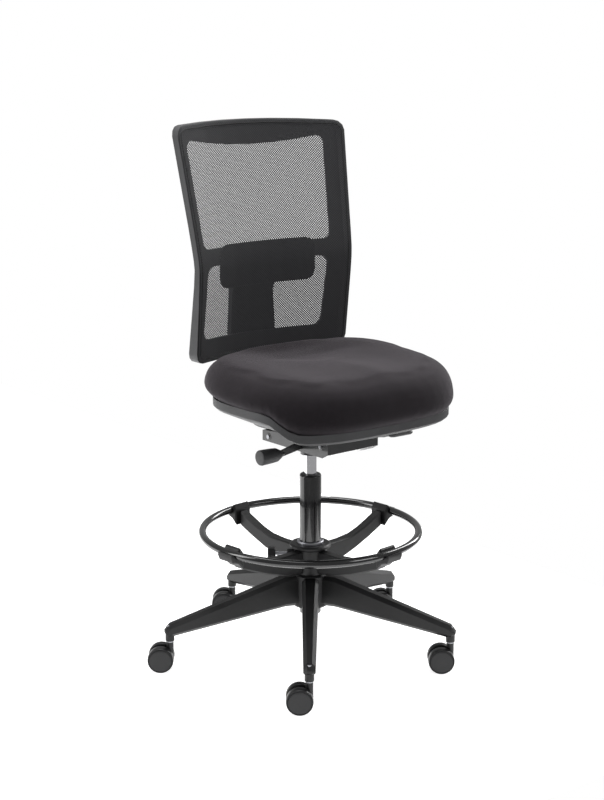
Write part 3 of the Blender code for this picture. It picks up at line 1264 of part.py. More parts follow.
def build_back():
    lift_axis = empty("back_height_axis", CHAIR_DATUM, (0.0, BAR_Y, BACK_UNDER))
    home = Matrix.Translation((0.0, -BAR_Y, -BACK_UNDER))
    flange_share = 1.0 - FRAME_FLANGE / FRAME_DEPTH_BEND
    outside = back_loop(BACK_UNDER, BACK_TOP, 0.0, BACK_CORNER, BACK_ARCH)
    inside = back_loop(BACK_UNDER + FRAME_RIM, BACK_TOP - FRAME_RIM, FRAME_RIM,
                       BACK_CORNER - FRAME_RIM * 0.7, BACK_ARCH)
    plate = back_loop(BACK_UNDER + 0.001, BACK_TOP - 0.001, 0.001, BACK_CORNER, BACK_ARCH)
    side = FRAME_SIDE + 0.018
    upper = back_loop(CROSSBAR_TOP, BACK_TOP - TOP_RAIL, side, 0.016, -TOP_RAIL_SAG)
    lower = back_loop(BACK_UNDER + BOTTOM_RAIL, CROSSBAR_UNDER, side + 0.006, 0.020)

    rim_mesh = flat_back("frame_rim", [outside, inside], RIM_FRONT, 1.0)
    rim = tool("frame_rim_form", rim_mesh, None)
    flange_mesh = flat_back("frame_flange", [plate, upper, lower], flange_share, 0.985)
    flange = tool("frame_flange_form", flange_mesh, None)
    join(rim, flange)
    frame_mesh = evaluated_mesh(rim, "back_frame")
    bend_back(frame_mesh, BEND_COLUMNS, BEND_ROWS)
    frame_mesh.transform(home)
    frame = piece("back_frame", frame_mesh, GREY_PLASTIC, lift_axis)
    smooth(frame)

    edge = 0.0025
    cloth = back_loop(BACK_UNDER + edge, BACK_TOP - edge, edge, BACK_CORNER - edge * 0.7, BACK_ARCH)
    cloth_front = 0.0
    cloth_rear = MESH_THICKNESS / FRAME_DEPTH_TOP
    mesh_form = flat_back("back_mesh", [cloth], cloth_front, cloth_rear)
    bend_back(mesh_form, BEND_COLUMNS, BEND_ROWS)
    for vert in mesh_form.vertices:
        vert.co.y -= 0.0003
    mesh_form.transform(home)
    smooth(piece("back_mesh", mesh_form, MESH_FABRIC, lift_axis), 60)

    rail_rear = back_front(0.0, BACK_UNDER) + frame_depth(BACK_UNDER)
    carrier_front = BAR_Y - CARRIER_DEPTH / 2
    carrier_rear = BAR_Y + CARRIER_DEPTH / 2
    shoulder_front = back_front(0.0, CROSSBAR_UNDER) + frame_depth(CROSSBAR_UNDER) + 0.0012
    head_front = back_front(0.0, CROSSBAR_TOP) + frame_depth(CROSSBAR_TOP) + 0.0012
    near = max(carrier_front, rail_rear + REST_GAP)
    carrier_loop = [
        (carrier_rear, BACK_UNDER + 0.002),
        (carrier_rear, CARRIER_SHOULDER),
        (head_front + 0.013, CROSSBAR_TOP),
        (head_front, CROSSBAR_TOP),
        (shoulder_front, CROSSBAR_UNDER - 0.004),
        (near, CARRIER_SHOULDER - 0.010),
        (near, BACK_UNDER + 0.002),
    ]
    carrier_mesh = side_form("back_carrier", carrier_loop, CARRIER_HALF_WIDTH)
    slice_up(carrier_mesh, 2, CARRIER_TAPER_ROWS)
    for vert in carrier_mesh.vertices:
        vert.co.x *= 1.0 + 0.10 * blend(CARRIER_SHOULDER - vert.co.z, 0.0, 0.12)
    carrier_mesh.transform(home)
    carrier = piece("back_carrier", carrier_mesh, BLACK_NYLON, lift_axis)
    slide_gap = 0.0006
    slot = tool("bar_slot", box_mesh(
        "bar_slot",
        (-BAR_HALF_WIDTH - slide_gap, BAR_Y - BAR_THICKNESS / 2 - slide_gap, BACK_UNDER - 0.05),
        (BAR_HALF_WIDTH + slide_gap, BAR_Y + BAR_THICKNESS / 2 + slide_gap, BAR_TOP + 0.004)),
        CHAIR_DATUM)
    cut(carrier, slot)
    bevel(carrier, 0.002, segments=2, angle=40.0)

    highest = back_front(0.0, PAD_TOP + PAD_RISE + PAD_SPARE)
    lowest = back_front(0.0, PAD_UNDER - PAD_DROP)
    pad_front = max(highest, lowest) + MESH_THICKNESS
    pad_mesh = outline_mesh(
        "lumbar_pad",
        [rounded_loop(PAD_HALF_WIDTH, (PAD_TOP - PAD_UNDER) / 2, 0.025, (0.0, 0.0), steps=4)],
        PAD_THICKNESS, soft_edge=0.0015)
    mid = (PAD_TOP + PAD_UNDER) / 2
    pad_mesh.transform(Matrix(((1.0, 0.0, 0.0, 0.0), (0.0, 0.0, 1.0, PAD_THICKNESS / 2),
                               (0.0, 1.0, 0.0, mid), (0.0, 0.0, 0.0, 1.0))))
    bm = bmesh.new()
    bm.from_mesh(pad_mesh)
    bmesh.ops.recalc_face_normals(bm, faces=bm.faces)
    bm.to_mesh(pad_mesh)
    bm.free()
    slice_up(pad_mesh, 0, [sign * place for place in (0.035, 0.075, 0.110) for sign in (-1, 1)])
    slice_up(pad_mesh, 2, [BACK_BEND - 0.03, BACK_BEND])
    triangulate(pad_mesh)
    for vert in pad_mesh.vertices:
        share = abs(vert.co.x) / half_width(BACK_BEND)
        vert.co.y += pad_front - BACK_BOW * share ** 2
    pad_axis = empty("lumbar_axis", lift_axis, (0.0, 0.0, 0.0))
    pad_mesh.transform(home)
    smooth(piece("lumbar_pad", pad_mesh, BLACK_NYLON, pad_axis), 50)


def build_back_bar():
    """Flat steel bar from the rear pivot, out behind the housing and up inside the carrier."""
    axis = empty("back_recline_axis", CHAIR_DATUM, (0.0, *BACK_PIVOT))
    thick = BAR_THICKNESS / 2
    bend = 0.058
    corner_y = BAR_Y - bend
    corner_z = BACK_PIVOT[1] + bend
    arc = [math.radians(-90.0 + 90.0 * step / 7) for step in range(8)]
    under = [(corner_y + (bend + thick) * math.cos(turn), corner_z + (bend + thick) * math.sin(turn))
             for turn in arc]
    upper = [(corner_y + (bend - thick) * math.cos(turn), corner_z + (bend - thick) * math.sin(turn))
             for turn in reversed(arc)]
    start = BACK_PIVOT[0]
    loop = [(start, BACK_PIVOT[1] + thick), (start, BACK_PIVOT[1] - thick)]
    loop += under + [(BAR_Y + thick, BAR_TOP), (BAR_Y - thick, BAR_TOP)] + upper
    mesh = side_form("back_bar", loop, BAR_HALF_WIDTH)
    mesh.transform(Matrix.Translation((0.0, -BACK_PIVOT[0], -BACK_PIVOT[1])))
    bar = piece("back_bar", mesh, BLACK_STEEL, axis)
    sleeve = tool("bar_sleeve_form", rod_mesh(
        "bar_sleeve", (-BAR_HALF_WIDTH - 0.003, *BACK_PIVOT), (BAR_HALF_WIDTH + 0.003, *BACK_PIVOT),
        BACK_PIN_RADIUS + 0.0035, segments=20), CHAIR_DATUM)
    bore = tool("bar_bore", rod_mesh(
        "bar_bore", (-0.06, *BACK_PIVOT), (0.06, *BACK_PIVOT), BACK_PIN_RADIUS + RUN_GAP,
        segments=16), CHAIR_DATUM)
    join(bar, sleeve)
    cut(bar, bore)


build_base()
for leg in range(LEG_COUNT):
    build_caster(leg)
build_column()
build_foot_ring()
build_housing()
build_height_lever()
build_tilt_lever()
build_seat()
build_back()
build_back_bar()
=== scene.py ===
# %% [markdown]
# # A drafting chair, dressed
#
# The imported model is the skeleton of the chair: every tube, wheel, lever and pin is in its
# real place, and it already moves.  This notebook gives it its surface.  Hard pieces keep
# their solids and get rounded edges and a finish.  Soft pieces, the seat and the mesh back,
# are made again as what they are: a stuffed cushion and a stretched cloth.

# %% Load the frame
import functools
import json
import math

import bmesh
import bpy
from mathutils import Matrix, Vector
from mathutils.bvhtree import BVHTree


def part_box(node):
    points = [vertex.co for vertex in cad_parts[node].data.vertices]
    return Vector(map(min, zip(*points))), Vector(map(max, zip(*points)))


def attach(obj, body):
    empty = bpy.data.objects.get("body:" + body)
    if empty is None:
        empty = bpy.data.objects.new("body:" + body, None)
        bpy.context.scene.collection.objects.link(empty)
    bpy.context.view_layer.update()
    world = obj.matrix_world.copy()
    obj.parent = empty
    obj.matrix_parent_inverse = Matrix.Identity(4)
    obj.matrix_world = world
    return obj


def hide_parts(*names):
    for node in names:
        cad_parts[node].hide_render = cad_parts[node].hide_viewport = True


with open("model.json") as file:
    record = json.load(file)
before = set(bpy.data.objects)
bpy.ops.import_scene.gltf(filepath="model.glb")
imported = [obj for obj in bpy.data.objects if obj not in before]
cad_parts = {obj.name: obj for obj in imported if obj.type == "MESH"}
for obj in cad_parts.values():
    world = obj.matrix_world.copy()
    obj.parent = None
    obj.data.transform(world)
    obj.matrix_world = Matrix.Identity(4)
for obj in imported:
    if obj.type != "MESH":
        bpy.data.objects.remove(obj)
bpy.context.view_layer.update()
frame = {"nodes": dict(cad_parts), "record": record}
NODES = frame["nodes"]
SCENE = bpy.context.scene

# %% [markdown]
# ## Where things are
#
# The middle of the column, the height of the ring and the outline of the back are read from
# the solids.  They could be typed in as numbers, but read this way the looks follow if the
# frame changes.

# %% Reading places from the solids
def middle(node):
    """Middle of a node's box."""
    low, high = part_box(node)
    return (low + high) / 2


def size(node):
    """Size of a node's box."""
    low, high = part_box(node)
    return high - low


@functools.cache
def surface_of(node):
    """A solid's faces, ready for asking what a line from the front meets."""
    work = bmesh.new()
    work.from_mesh(NODES[node].data)
    tree = BVHTree.FromBMesh(work)
    work.free()
    return tree


COLUMN = middle("column_tube")
print("column axis at", round(COLUMN.x, 4), round(COLUMN.y, 4))

# %% [markdown]
# ## Writing shader maths as sums
#
# A material in Blender is a graph of nodes.  Wiring dozens of Math nodes by hand hides the
# idea, so this small class wraps a socket and lets ordinary sums build the graph:
# `1 - mask * 0.5` adds the two Math nodes and links them.

# %% A socket that can be added and multiplied
class Socket:
    """An output of a node, with Python's operators."""

    def __init__(self, finish, output):
        self.finish = finish
        self.output = output

    def maths(self, operation, *others):
        values = dict(enumerate([self, *others]))
        return self.finish.node("ShaderNodeMath", {"operation": operation}, values)

    def __add__(self, other):
        return self.maths("ADD", other)

    def __sub__(self, other):
        return self.maths("SUBTRACT", other)

    def __mul__(self, other):
        return self.maths("MULTIPLY", other)

    def __gt__(self, other):
        return self.maths("GREATER_THAN", other)

    __radd__ = __add__
    __rmul__ = __mul__

    def __rsub__(self, other):
        return (self * -1.0) + other

    def sine(self):
        return self.maths("SINE")

    def size(self):
        return self.maths("ABSOLUTE")

    def least(self, other):
        return self.maths("MINIMUM", other)

    def ramp(self, low, high):
        """0 below low, 1 above high, smooth between."""
        settings = {"interpolation_type": "SMOOTHSTEP"}
        return self.finish.node("ShaderNodeMapRange", settings, {0: self, 1: low, 2: high})


# %% [markdown]
# The other half is the material itself.  `Finish` owns one Principled shader.  Its `node`
# method adds any node: first its type, then its settings, then what its sockets hold.
# Values that are the same everywhere are set straight on the shader, and only what changes
# over the surface is wired.

# %% A material that is written, not wired
class Finish:
    """One Principled material and the nodes that feed it."""

    def __init__(self, name, **plain):
        self.material = bpy.data.materials.new(name)
        self.material.use_nodes = True
        self.tree = self.material.node_tree
        self.shader = self.tree.nodes["Principled BSDF"]
        self.place = self.node("ShaderNodeTexCoord", output="Object")
        self.use(**plain)

    def node(self, kind, settings=None, sockets=None, output=0):
        made = self.tree.nodes.new(kind)
        for key, value in (settings or {}).items():
            setattr(made, key, value)
        for key, value in (sockets or {}).items():
            self.feed(made.inputs[key], value)
        return Socket(self, made.outputs[output])

    def feed(self, socket, value):
        if isinstance(value, Socket):
            self.tree.links.new(value.output, socket)
        else:
            socket.default_value = value

    def use(self, **values):
        """Set or wire the shader's own sockets, with _ for a space in their names."""
        for name, value in values.items():
            socket = self.shader.inputs[name.replace("_", " ").title().replace("Ior", "IOR")]
            if isinstance(value, tuple) and len(value) == 3:
                value = (*value, 1.0)
            self.feed(socket, value)

    def axes(self):
        """The object's own X, Y and Z over the surface."""
        split = self.tree.nodes.new("ShaderNodeSeparateXYZ")
        self.feed(split.inputs[0], self.place)
        return [Socket(self, split.outputs[axis]) for axis in range(3)]

    def noise(self, scale, detail=3.0, roughness=0.55, stretch=None):
        """Cloudy variation, with so many clouds to the metre."""
        place = self.place
        if stretch is not None:
            place = self.node("ShaderNodeVectorMath", {"operation": "MULTIPLY"},
                              {0: self.place, 1: stretch})
        return self.node("ShaderNodeTexNoise", {}, {
            "Vector": place, "Scale": scale, "Detail": detail, "Roughness": roughness})

    def grains(self, scale):
        """Cells, as in the grain of moulded plastic: 0 in a cell's middle."""
        return self.node("ShaderNodeTexVoronoi", {"feature": "F1"},
                         {"Vector": self.place, "Scale": scale})

    def mix(self, share, first, second):
        """Between two colours."""
        return self.node("ShaderNodeMix", {"data_type": "RGBA"},
                         {0: share, 6: (*first, 1.0), 7: (*second, 1.0)}, output=2)

    def bump(self, height, depth, strength=1.0):
        """Raise and lower the surface by a height that runs from 0 to 1, in metres."""
        self.use(Normal=self.node("ShaderNodeBump", {}, {
            "Height": height, "Distance": depth, "Strength": strength}))


# %% [markdown]
# ## Finishes
#
# The chair is nearly all black, so it is the *surface* that tells the pieces apart.
# Reinforced nylon is satin with a faint moulded grain, and it wears paler and shinier in
# patches.  Five tones are needed, from the near black base to the dark grey seat shell, so one
# function makes them all.

# %% Moulded plastic
def moulded(name, dark, worn, gloss, grain=1500.0, depth=0.00006):
    """Satin plastic from a mould: fine grain, slow clouds of gloss, and a little wear."""
    finish = Finish(name, Specular_Ior_Level=0.38)
    clouds = finish.noise(14.0, 4.0)
    scuffs = finish.noise(70.0, 6.0, 0.7, stretch=(1.0, 1.0, 0.35)).ramp(0.60, 0.78)
    dust = finish.noise(420.0, 2.0).ramp(0.45, 0.80)
    share = (clouds.ramp(0.35, 0.75) * 0.45 + scuffs * 0.35 + dust * 0.20).least(1.0)
    finish.use(Base_Color=finish.mix(share, dark, worn),
               Roughness=gloss + clouds * 0.10 - scuffs * 0.06)
    finish.bump(finish.grains(grain) * 0.7 + finish.noise(600.0) * 0.3, depth, 0.55)
    return finish.material


NYLON = moulded("black_nylon", (0.0070, 0.0070, 0.0074), (0.016, 0.016, 0.017), 0.36)
CASTER_NYLON = moulded("caster_nylon", (0.0075, 0.0075, 0.0080), (0.017, 0.017, 0.018), 0.30)
GREY_PLASTIC = moulded("grey_plastic", (0.055, 0.055, 0.057), (0.082, 0.082, 0.085), 0.42,
                       grain=1100.0, depth=0.00009)
COVER_GREY = moulded("caster_cover_grey", (0.016, 0.016, 0.017), (0.028, 0.028, 0.029), 0.38)
PAD_BLACK = moulded("pad_plastic", (0.0055, 0.0068, 0.0095), (0.010, 0.012, 0.016), 0.50)
print("plastics made")

# %% [markdown]
# Metals come next.  Powder coat has a low, wavy skin that breaks up reflections a little.
# Chrome is a mirror with faint rings left from polishing the rod as it turned.  Zinc plate
# is duller, slightly blue, and blotchy.

# %% Painted and plated metal
NICK_TONE = (0.05, 0.05, 0.052)


def powder_coat(name, colour, gloss, wave):
    """Paint over metal: a hard coat with a slight orange-peel wave under it."""
    finish = Finish(name, Metallic=0.0, Coat_Roughness=0.05)
    clouds = finish.noise(30.0, 3.0)
    nicks = finish.noise(900.0, 2.0).ramp(0.74, 0.80)
    finish.use(Base_Color=finish.mix(nicks * 0.5, colour, NICK_TONE),
               Roughness=gloss + clouds * 0.06 + nicks * 0.2,
               Coat_Weight=0.6 + clouds * 0.3)
    finish.bump(finish.noise(260.0, 2.0), wave, 0.5)
    return finish.material


def plated(name, colour, tone, gloss, stretch, scratch):
    """Bare bright metal with a polishing direction."""
    finish = Finish(name, Metallic=1.0)
    lines = finish.noise(220.0, 4.0, 0.6, stretch=stretch)
    blotch = finish.noise(45.0, 3.0)
    finish.use(Base_Color=finish.mix(blotch, colour, tone),
               Roughness=gloss + lines * scratch + blotch * scratch * 0.5)
    finish.bump(lines, 0.00002, 0.3)
    return finish.material


COLUMN_PAINT = powder_coat("column_paint", (0.0030, 0.0030, 0.0034), 0.14, 0.00006)
BLACK_STEEL = powder_coat("black_steel", (0.014, 0.014, 0.015), 0.34, 0.00012)
CHROME = plated("chrome", (0.93, 0.93, 0.95), (0.84, 0.84, 0.87), 0.05, (0.1, 0.1, 6.0), 0.08)
ZINC = plated("zinc", (0.50, 0.51, 0.54), (0.36, 0.36, 0.38), 0.24, (1.0, 1.0, 3.0), 0.20)
print("metals made")

# %% [markdown]
# The seat cloth is a plain weave.  Over and under threads are two sine waves at right
# angles; where one is high the other is low.  A yarn is never one colour, so the threads
# are mottled, and soft fibre gives the cloth its dull sheen at glancing angles.

# %% Woven seat cloth
THREAD = 0.0011


def woven(name, dark, light, thread):
    """Plain-weave upholstery cloth."""
    finish = Finish(name, Sheen_Weight=0.19, Sheen_Roughness=0.45, Specular_Ior_Level=0.25)
    finish.use(Sheen_Tint=(0.80, 0.74, 0.80))
    across, along, up = finish.axes()
    turns = math.tau / thread
    warp = ((across + up * 0.35) * turns).sine()
    weft = ((along + up * 0.80) * turns).sine()
    weave = (warp * weft) * 0.5 + 0.5
    yarn = finish.noise(900.0, 3.0)
    mottle = finish.noise(60.0, 5.0, 0.65)
    share = (weave * 0.35 + yarn.ramp(0.3, 0.75) * 0.40 + mottle.ramp(0.3, 0.8) * 0.25).least(1.0)
    finish.use(Base_Color=finish.mix(share, dark, light), Roughness=0.82 + yarn * 0.14)
    finish.bump(weave * 0.6 + yarn * 0.4, 0.00025, 0.7)
    return finish.material


SEAT_CLOTH = woven("seat_cloth", (0.0054, 0.0038, 0.0050), (0.0160, 0.0120, 0.0156), THREAD)
print("seat cloth made, threads", THREAD * 1000, "mm apart")

# %% [markdown]
# The back is a knitted mesh: threads with real holes between them, so light from behind
# comes through.  The holes go in Alpha, as a diagonal net.  Each hole is where two slanted
# waves are both near their middle, and the threads carry the bump.

# %% Knitted mesh
NET = 0.0060
OPEN_SHARE = 0.380
DIAMOND = 1.05          # holes are this much closer together upwards than across
SNUG_BELOW = 0.86       # height under which the knit is at its closest
SNUG_ABOVE = 1.00       # height over which it is fully open


def knitted(name, colour, light, net, open_share):
    """A net of slanted threads with holes between them, closer knit towards the seat."""
    finish = Finish(name, Specular_Ior_Level=0.3, Sheen_Weight=0.15)
    across, along, up = finish.axes()
    turns = math.pi / net
    rising = ((across + up * DIAMOND) * turns).sine().size()
    falling = ((across - up * DIAMOND) * turns).sine().size()
    snug = 1.0 - up.ramp(SNUG_BELOW, SNUG_ABOVE)
    hole = (rising * falling) > (1.0 - open_share + snug * 0.09)
    thread = finish.noise(1500.0, 2.0)
    finish.use(Base_Color=finish.mix(thread, colour, light), Roughness=0.62 + thread * 0.2,
               Alpha=1.0 - hole)
    finish.bump(1.0 - rising * falling, 0.0004, 0.6)
    return finish.material


MESH_CLOTH = knitted("mesh_cloth", (0.022, 0.022, 0.0245), (0.052, 0.052, 0.056), NET, OPEN_SHARE)
print("mesh made, holes", NET * 1000, "mm apart")

# %% [markdown]
# The seat board is birch plywood.  It only shows from below, if at all, in the gap round the
# seat plate, so a plain brown would nearly do, but a wave makes plies and a noise makes grain.

# %% Plywood
PLY = 0.0028
BIRCH = (0.52, 0.36, 0.21)
GLUE_LINE = (0.26, 0.16, 0.08)


def plywood(name):
    """Birch plywood: long grain on the face and dark glue lines on the edge."""
    finish = Finish(name, Specular_Ior_Level=0.3)
    _, _, up = finish.axes()
    plies = (up * (math.tau / PLY)).sine().ramp(0.2, 0.9)
    grain = finish.noise(60.0, 6.0, 0.6, stretch=(0.15, 1.5, 1.0))
    finish.use(Base_Color=finish.mix(plies * 0.6 + grain * 0.4, BIRCH, GLUE_LINE),
               Roughness=0.6 + grain * 0.2)
    finish.bump(grain, 0.0002, 0.4)
    return finish.material


PLYWOOD = plywood("plywood_board")
print("plywood made, plies", PLY * 1000, "mm apart")

# %% [markdown]
# ## Hard pieces
#
# The solids arrive with knife-sharp edges.  Nothing real has those: a narrow Bevel on each
# edge catches the light and is what makes a shape read as made.  A Weld goes first, because
# the file format splits a mesh at its sharp edges and a Bevel needs them joined.

# %% Round the edges and give each solid its finish
SAME_POINT = 0.00002    # points nearer than this are one
SHARP_ANGLE = 32.0      # an edge that turns more than this is rounded


def soften(node, finish, edge):
    """Finish a solid of the frame in place, with its edges rounded by so much."""
    solid = NODES[node]
    solid.data.materials.clear()
    solid.data.materials.append(finish)
    weld = solid.modifiers.new("weld", "WELD")
    weld.merge_threshold = SAME_POINT
    if edge:
        bevel = solid.modifiers.new("soft_edges", "BEVEL")
        bevel.width = edge
        bevel.segments = 2
        bevel.limit_method = "ANGLE"
        bevel.angle_limit = math.radians(SHARP_ANGLE)
        bevel.harden_normals = False
    solid.data.shade_smooth()
    normals = solid.modifiers.new("weighted_normals", "WEIGHTED_NORMAL")
    normals.keep_sharp = True


FINISHES = {
    "nylon": (NYLON, 0.0010),
    "caster_nylon": (CASTER_NYLON, 0.0008),
    "caster_wheel": (CASTER_NYLON, 0.0008),
    "grey_plastic": (GREY_PLASTIC, 0.0010),
    "column_paint": (COLUMN_PAINT, 0.0005),
    "black_steel": (BLACK_STEEL, 0.0006),
    "chrome": (CHROME, 0.0004),
    "zinc": (ZINC, 0.0003),
    "plywood": (PLYWOOD, 0.0004),
    "seat_fabric": (SEAT_CLOTH, 0.0),
    "back_mesh": (MESH_CLOTH, 0.0),
}
OWN_FINISHES = {
    "star_base": (NYLON, 0.0022),
    "footring_spider": (NYLON, 0.0016),
    "back_frame": (GREY_PLASTIC, 0.0016),
    "back_carrier": (PAD_BLACK, 0.0010),
    "lumbar_pad": (PAD_BLACK, 0.0012),
    "tilt_spring": (ZINC, 0.0),
}
SLOT_OF = {part["node"]: part["material_slot"] for part in frame["record"]["subparts"]}
for name in sorted(NODES):
    soften(name, *OWN_FINISHES.get(name, FINISHES[SLOT_OF[name]]))
print("solids finished", len(NODES))


# %% [markdown]
# ## Helpers for new pieces
#
# Every new piece joins the scene, rides on a body, and is given its finish.  A turned piece
# is a profile swept round an axis, which is how the real ones are made
# or moulded.

# %% Adding a piece
def add(name, mesh, finish, body, smooth=True):
    """A new piece that moves with a body of the frame."""
    made = bpy.data.objects.new(name, mesh)
    SCENE.collection.objects.link(made)
    mesh.materials.append(finish)
    if smooth:
        mesh.shade_smooth()
    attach(made, body)
    return made


def turned(name, profile, steps=48):
    """Sweep (radius, height) points, listed from the top down, round the Z axis."""
    work = bmesh.new()
    chain = [work.verts.new((radius, 0.0, height)) for radius, height in profile]
    links = [work.edges.new(pair) for pair in zip(chain, chain[1:])]
    bmesh.ops.spin(work, geom=chain + links, cent=(0, 0, 0), axis=(0, 0, 1),
                   angle=math.tau, steps=steps, use_merge=True)
    bmesh.ops.remove_doubles(work, verts=work.verts, dist=0.00001)
    bmesh.ops.recalc_face_normals(work, faces=work.faces)
    mesh = bpy.data.meshes.new(name)
    work.to_mesh(mesh)
    work.free()
    return mesh


def tube_along(name, points, radius, finish, body, closed=False, sides=3):
    """A round bar, bead or wire along a line of points."""
    curve = bpy.data.curves.new(name, "CURVE")
    curve.dimensions = "3D"
    curve.bevel_depth = radius
    curve.bevel_resolution = sides
    curve.use_fill_caps = not closed
    spline = curve.splines.new("POLY")
    spline.points.add(len(points) - 1)
    spline.use_cyclic_u = closed
    for point, place in zip(spline.points, points):
        point.co = (*place, 1.0)
    guide = bpy.data.objects.new(name, curve)
    SCENE.collection.objects.link(guide)
    bpy.context.view_layer.update()
    graph = bpy.context.evaluated_depsgraph_get()
    mesh = bpy.data.meshes.new_from_object(guide.evaluated_get(graph))
    bpy.data.objects.remove(guide)
    mesh.materials.clear()
    return add(name, mesh, finish, body)


# %% [markdown]
# ## Casters
#
# A twin-wheel caster has a moulded wheel each side of a black body.  The wheel's face is a
# separate grey disc pressed in, with a narrow groove round it, and the tread beyond the
# groove is polished by rolling.  So each wheel is turned again with that groove and a disc
# is added to it.  The wheel's own axis is read from its solid.

# %% Wheels with pressed-in covers
def wheel_profile(radius, half):
    """Tread, rounded shoulder, narrow groove and the seat for the cover, outer face first."""
    return [
        (0.0, half - 0.0022), (radius * 0.885, half - 0.0022), (radius * 0.895, half - 0.0006),
        (radius * 0.925, half - 0.0002), (radius * 0.955, half - 0.0007),
        (radius * 0.985, half - 0.0026), (radius, half - 0.0058), (radius, -half + 0.0020),
        (radius * 0.985, -half + 0.0004), (radius * 0.95, -half), (0.16 * radius, -half),
        (0.0, -half),
    ]


def cover_profile(radius, half):
    """A very slightly domed disc whose edge dips into the groove."""
    rim = radius * 0.870
    return [
        (0.0, half + 0.0004), (rim * 0.35, half + 0.0003), (rim * 0.75, half),
        (rim * 0.955, half - 0.0003), (rim * 0.988, half - 0.0007), (rim, half - 0.0014),
        (rim, half - 0.0022), (0.0, half - 0.0022),
    ]


def axle_line(number):
    """Unit vector along a caster's axle, from its left wheel to its right."""
    run = middle(f"caster_{number}_wheel_right") - middle(f"caster_{number}_wheel_left")
    return run.normalized()


for number in range(1, 6):
    line = axle_line(number)
    for side, facing in (("left", -1.0), ("right", 1.0)):
        node = f"caster_{number}_wheel_{side}"
        centre = middle(node)
        radius = size(node).z / 2
        corners = [Vector(v.co) - centre for v in NODES[node].data.vertices]
        half = max(abs(corner.dot(line)) for corner in corners)
        turn = (line * facing).to_track_quat("Z", "Y").to_matrix().to_4x4()
        for part, profile, finish in (
            ("tread", wheel_profile(radius, half), CASTER_NYLON),
            ("cover", cover_profile(radius, half), COVER_GREY),
        ):
            mesh = turned(f"caster_{number}_{part}_{side}", profile, 64)
            mesh.transform(Matrix.Translation(centre) @ turn)
            piece = add(mesh.name, mesh, finish, f"caster_{number}_{side}")
            if part == "tread":
                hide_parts(node)
print("wheels turned, radius", round(radius, 4), "half width", round(half, 4))

# %% [markdown]
# ## Foot ring
#
# The ring is a steel tube bent round and butt-welded.  The solid has flats, which would
# break up the long highlight that runs round gloss paint, so a smooth tube stands in for it
# with the low bead of the weld at the back.

# %% Smooth tube and its weld
ring_size = size("foot_ring")
RING_HEIGHT = middle("foot_ring").z
TUBE = ring_size.z / 2
RING = ring_size.x / 2 - TUBE
RING_STEPS = 180
WELD_TURN = math.radians(98.0)      # where round the column the tube's ends meet
WELD_STEPS = 24
WELD_PROUD = 0.0001
WELD_BEAD = 0.0009


def round_column(radius, turn, height):
    """A point at a distance from the column's axis."""
    return (COLUMN.x + radius * math.cos(turn), COLUMN.y + radius * math.sin(turn), height)


ring_points = [round_column(RING, math.tau * step / RING_STEPS, RING_HEIGHT)
               for step in range(RING_STEPS)]
ring = tube_along("ring_tube", ring_points, TUBE, COLUMN_PAINT,
                  "footring", closed=True, sides=10)
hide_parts("foot_ring")
weld_points = []
for step in range(WELD_STEPS):
    turn = math.tau * step / WELD_STEPS
    proud = TUBE + WELD_PROUD
    weld_points.append(round_column(RING + proud * math.cos(turn), WELD_TURN,
                                    RING_HEIGHT + proud * math.sin(turn)))
tube_along("ring_weld", weld_points, WELD_BEAD, COLUMN_PAINT,
           "footring", closed=True)
print("ring radius", round(RING, 4), "tube", round(TUBE, 4))

# %% [markdown]
# ## The seat cushion
#
# The real cushion is moulded foam on a board, with cloth pulled over and tucked under.
# Cloth under pressure finds that shape by itself: it crowns on top and pulls in between its
# corners.  So a plain pad a little smaller than the cushion is remeshed into even squares,
# filled with air pressure for twenty steps, and each point is kept within a set reach of
# where it began.  The rows that sit in the shell are pinned, as the tuck is on the real one.

# %% A plain pad from the solid's outline
CUSHION = NODES["seat_cushion"]
cushion_low, cushion_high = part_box("seat_cushion")
seat_middle = (cushion_low + cushion_high) / 2
SEAT_HALF = (cushion_high - cushion_low) / 2
REMESH = 0.0055         # side of the even squares
SWELL_REACH = 0.012     # furthest a point may move
TUCK_HEIGHT = 0.012     # what lies this low in the shell is pinned
SHRINK = 0.0040
TUCKED_SHARE = 0.20     # lowest part of the pad, which keeps its size


def plain_pad():
    """A copy of the cushion's solid, drawn in a little towards its middle."""
    mesh = CUSHION.data.copy()
    work = bmesh.new()
    work.from_mesh(mesh)
    bmesh.ops.remove_doubles(work, verts=work.verts, dist=SAME_POINT)
    for vert in work.verts:
        rise = (vert.co.z - cushion_low.z) / (cushion_high.z - cushion_low.z)
        if rise > TUCKED_SHARE:
            flat = Vector((vert.co.x - seat_middle.x, vert.co.y - seat_middle.y, 0.0))
            vert.co -= flat.normalized() * SHRINK * min(1.0, (rise - TUCKED_SHARE) * 3.0)
            vert.co.z -= SHRINK * max(0.0, rise - 0.5)
    work.to_mesh(mesh)
    work.free()
    made = bpy.data.objects.new("seat_upholstery", mesh)
    SCENE.collection.objects.link(made)
    return made


pad = plain_pad()
print("pad points before remeshing", len(pad.data.vertices))


# %% [markdown]
# Remeshing is what lets the pad swell evenly.  The simulation has to be the same each time
# it runs, so it has no randomness, and its result is applied so that no cloth is left.  It is
# the slow step.

# %% Fill it with air
def apply_all(target):
    """Turn an object's modifiers into plain geometry."""
    graph = bpy.context.evaluated_depsgraph_get()
    mesh = bpy.data.meshes.new_from_object(target.evaluated_get(graph))
    old = target.data
    target.modifiers.clear()
    target.data = mesh
    bpy.data.meshes.remove(old)


def even_squares(target, voxel):
    """Rebuild a closed form from squares of one size."""
    remesh = target.modifiers.new("even_squares", "REMESH")
    remesh.mode = "VOXEL"
    remesh.voxel_size = voxel
    apply_all(target)


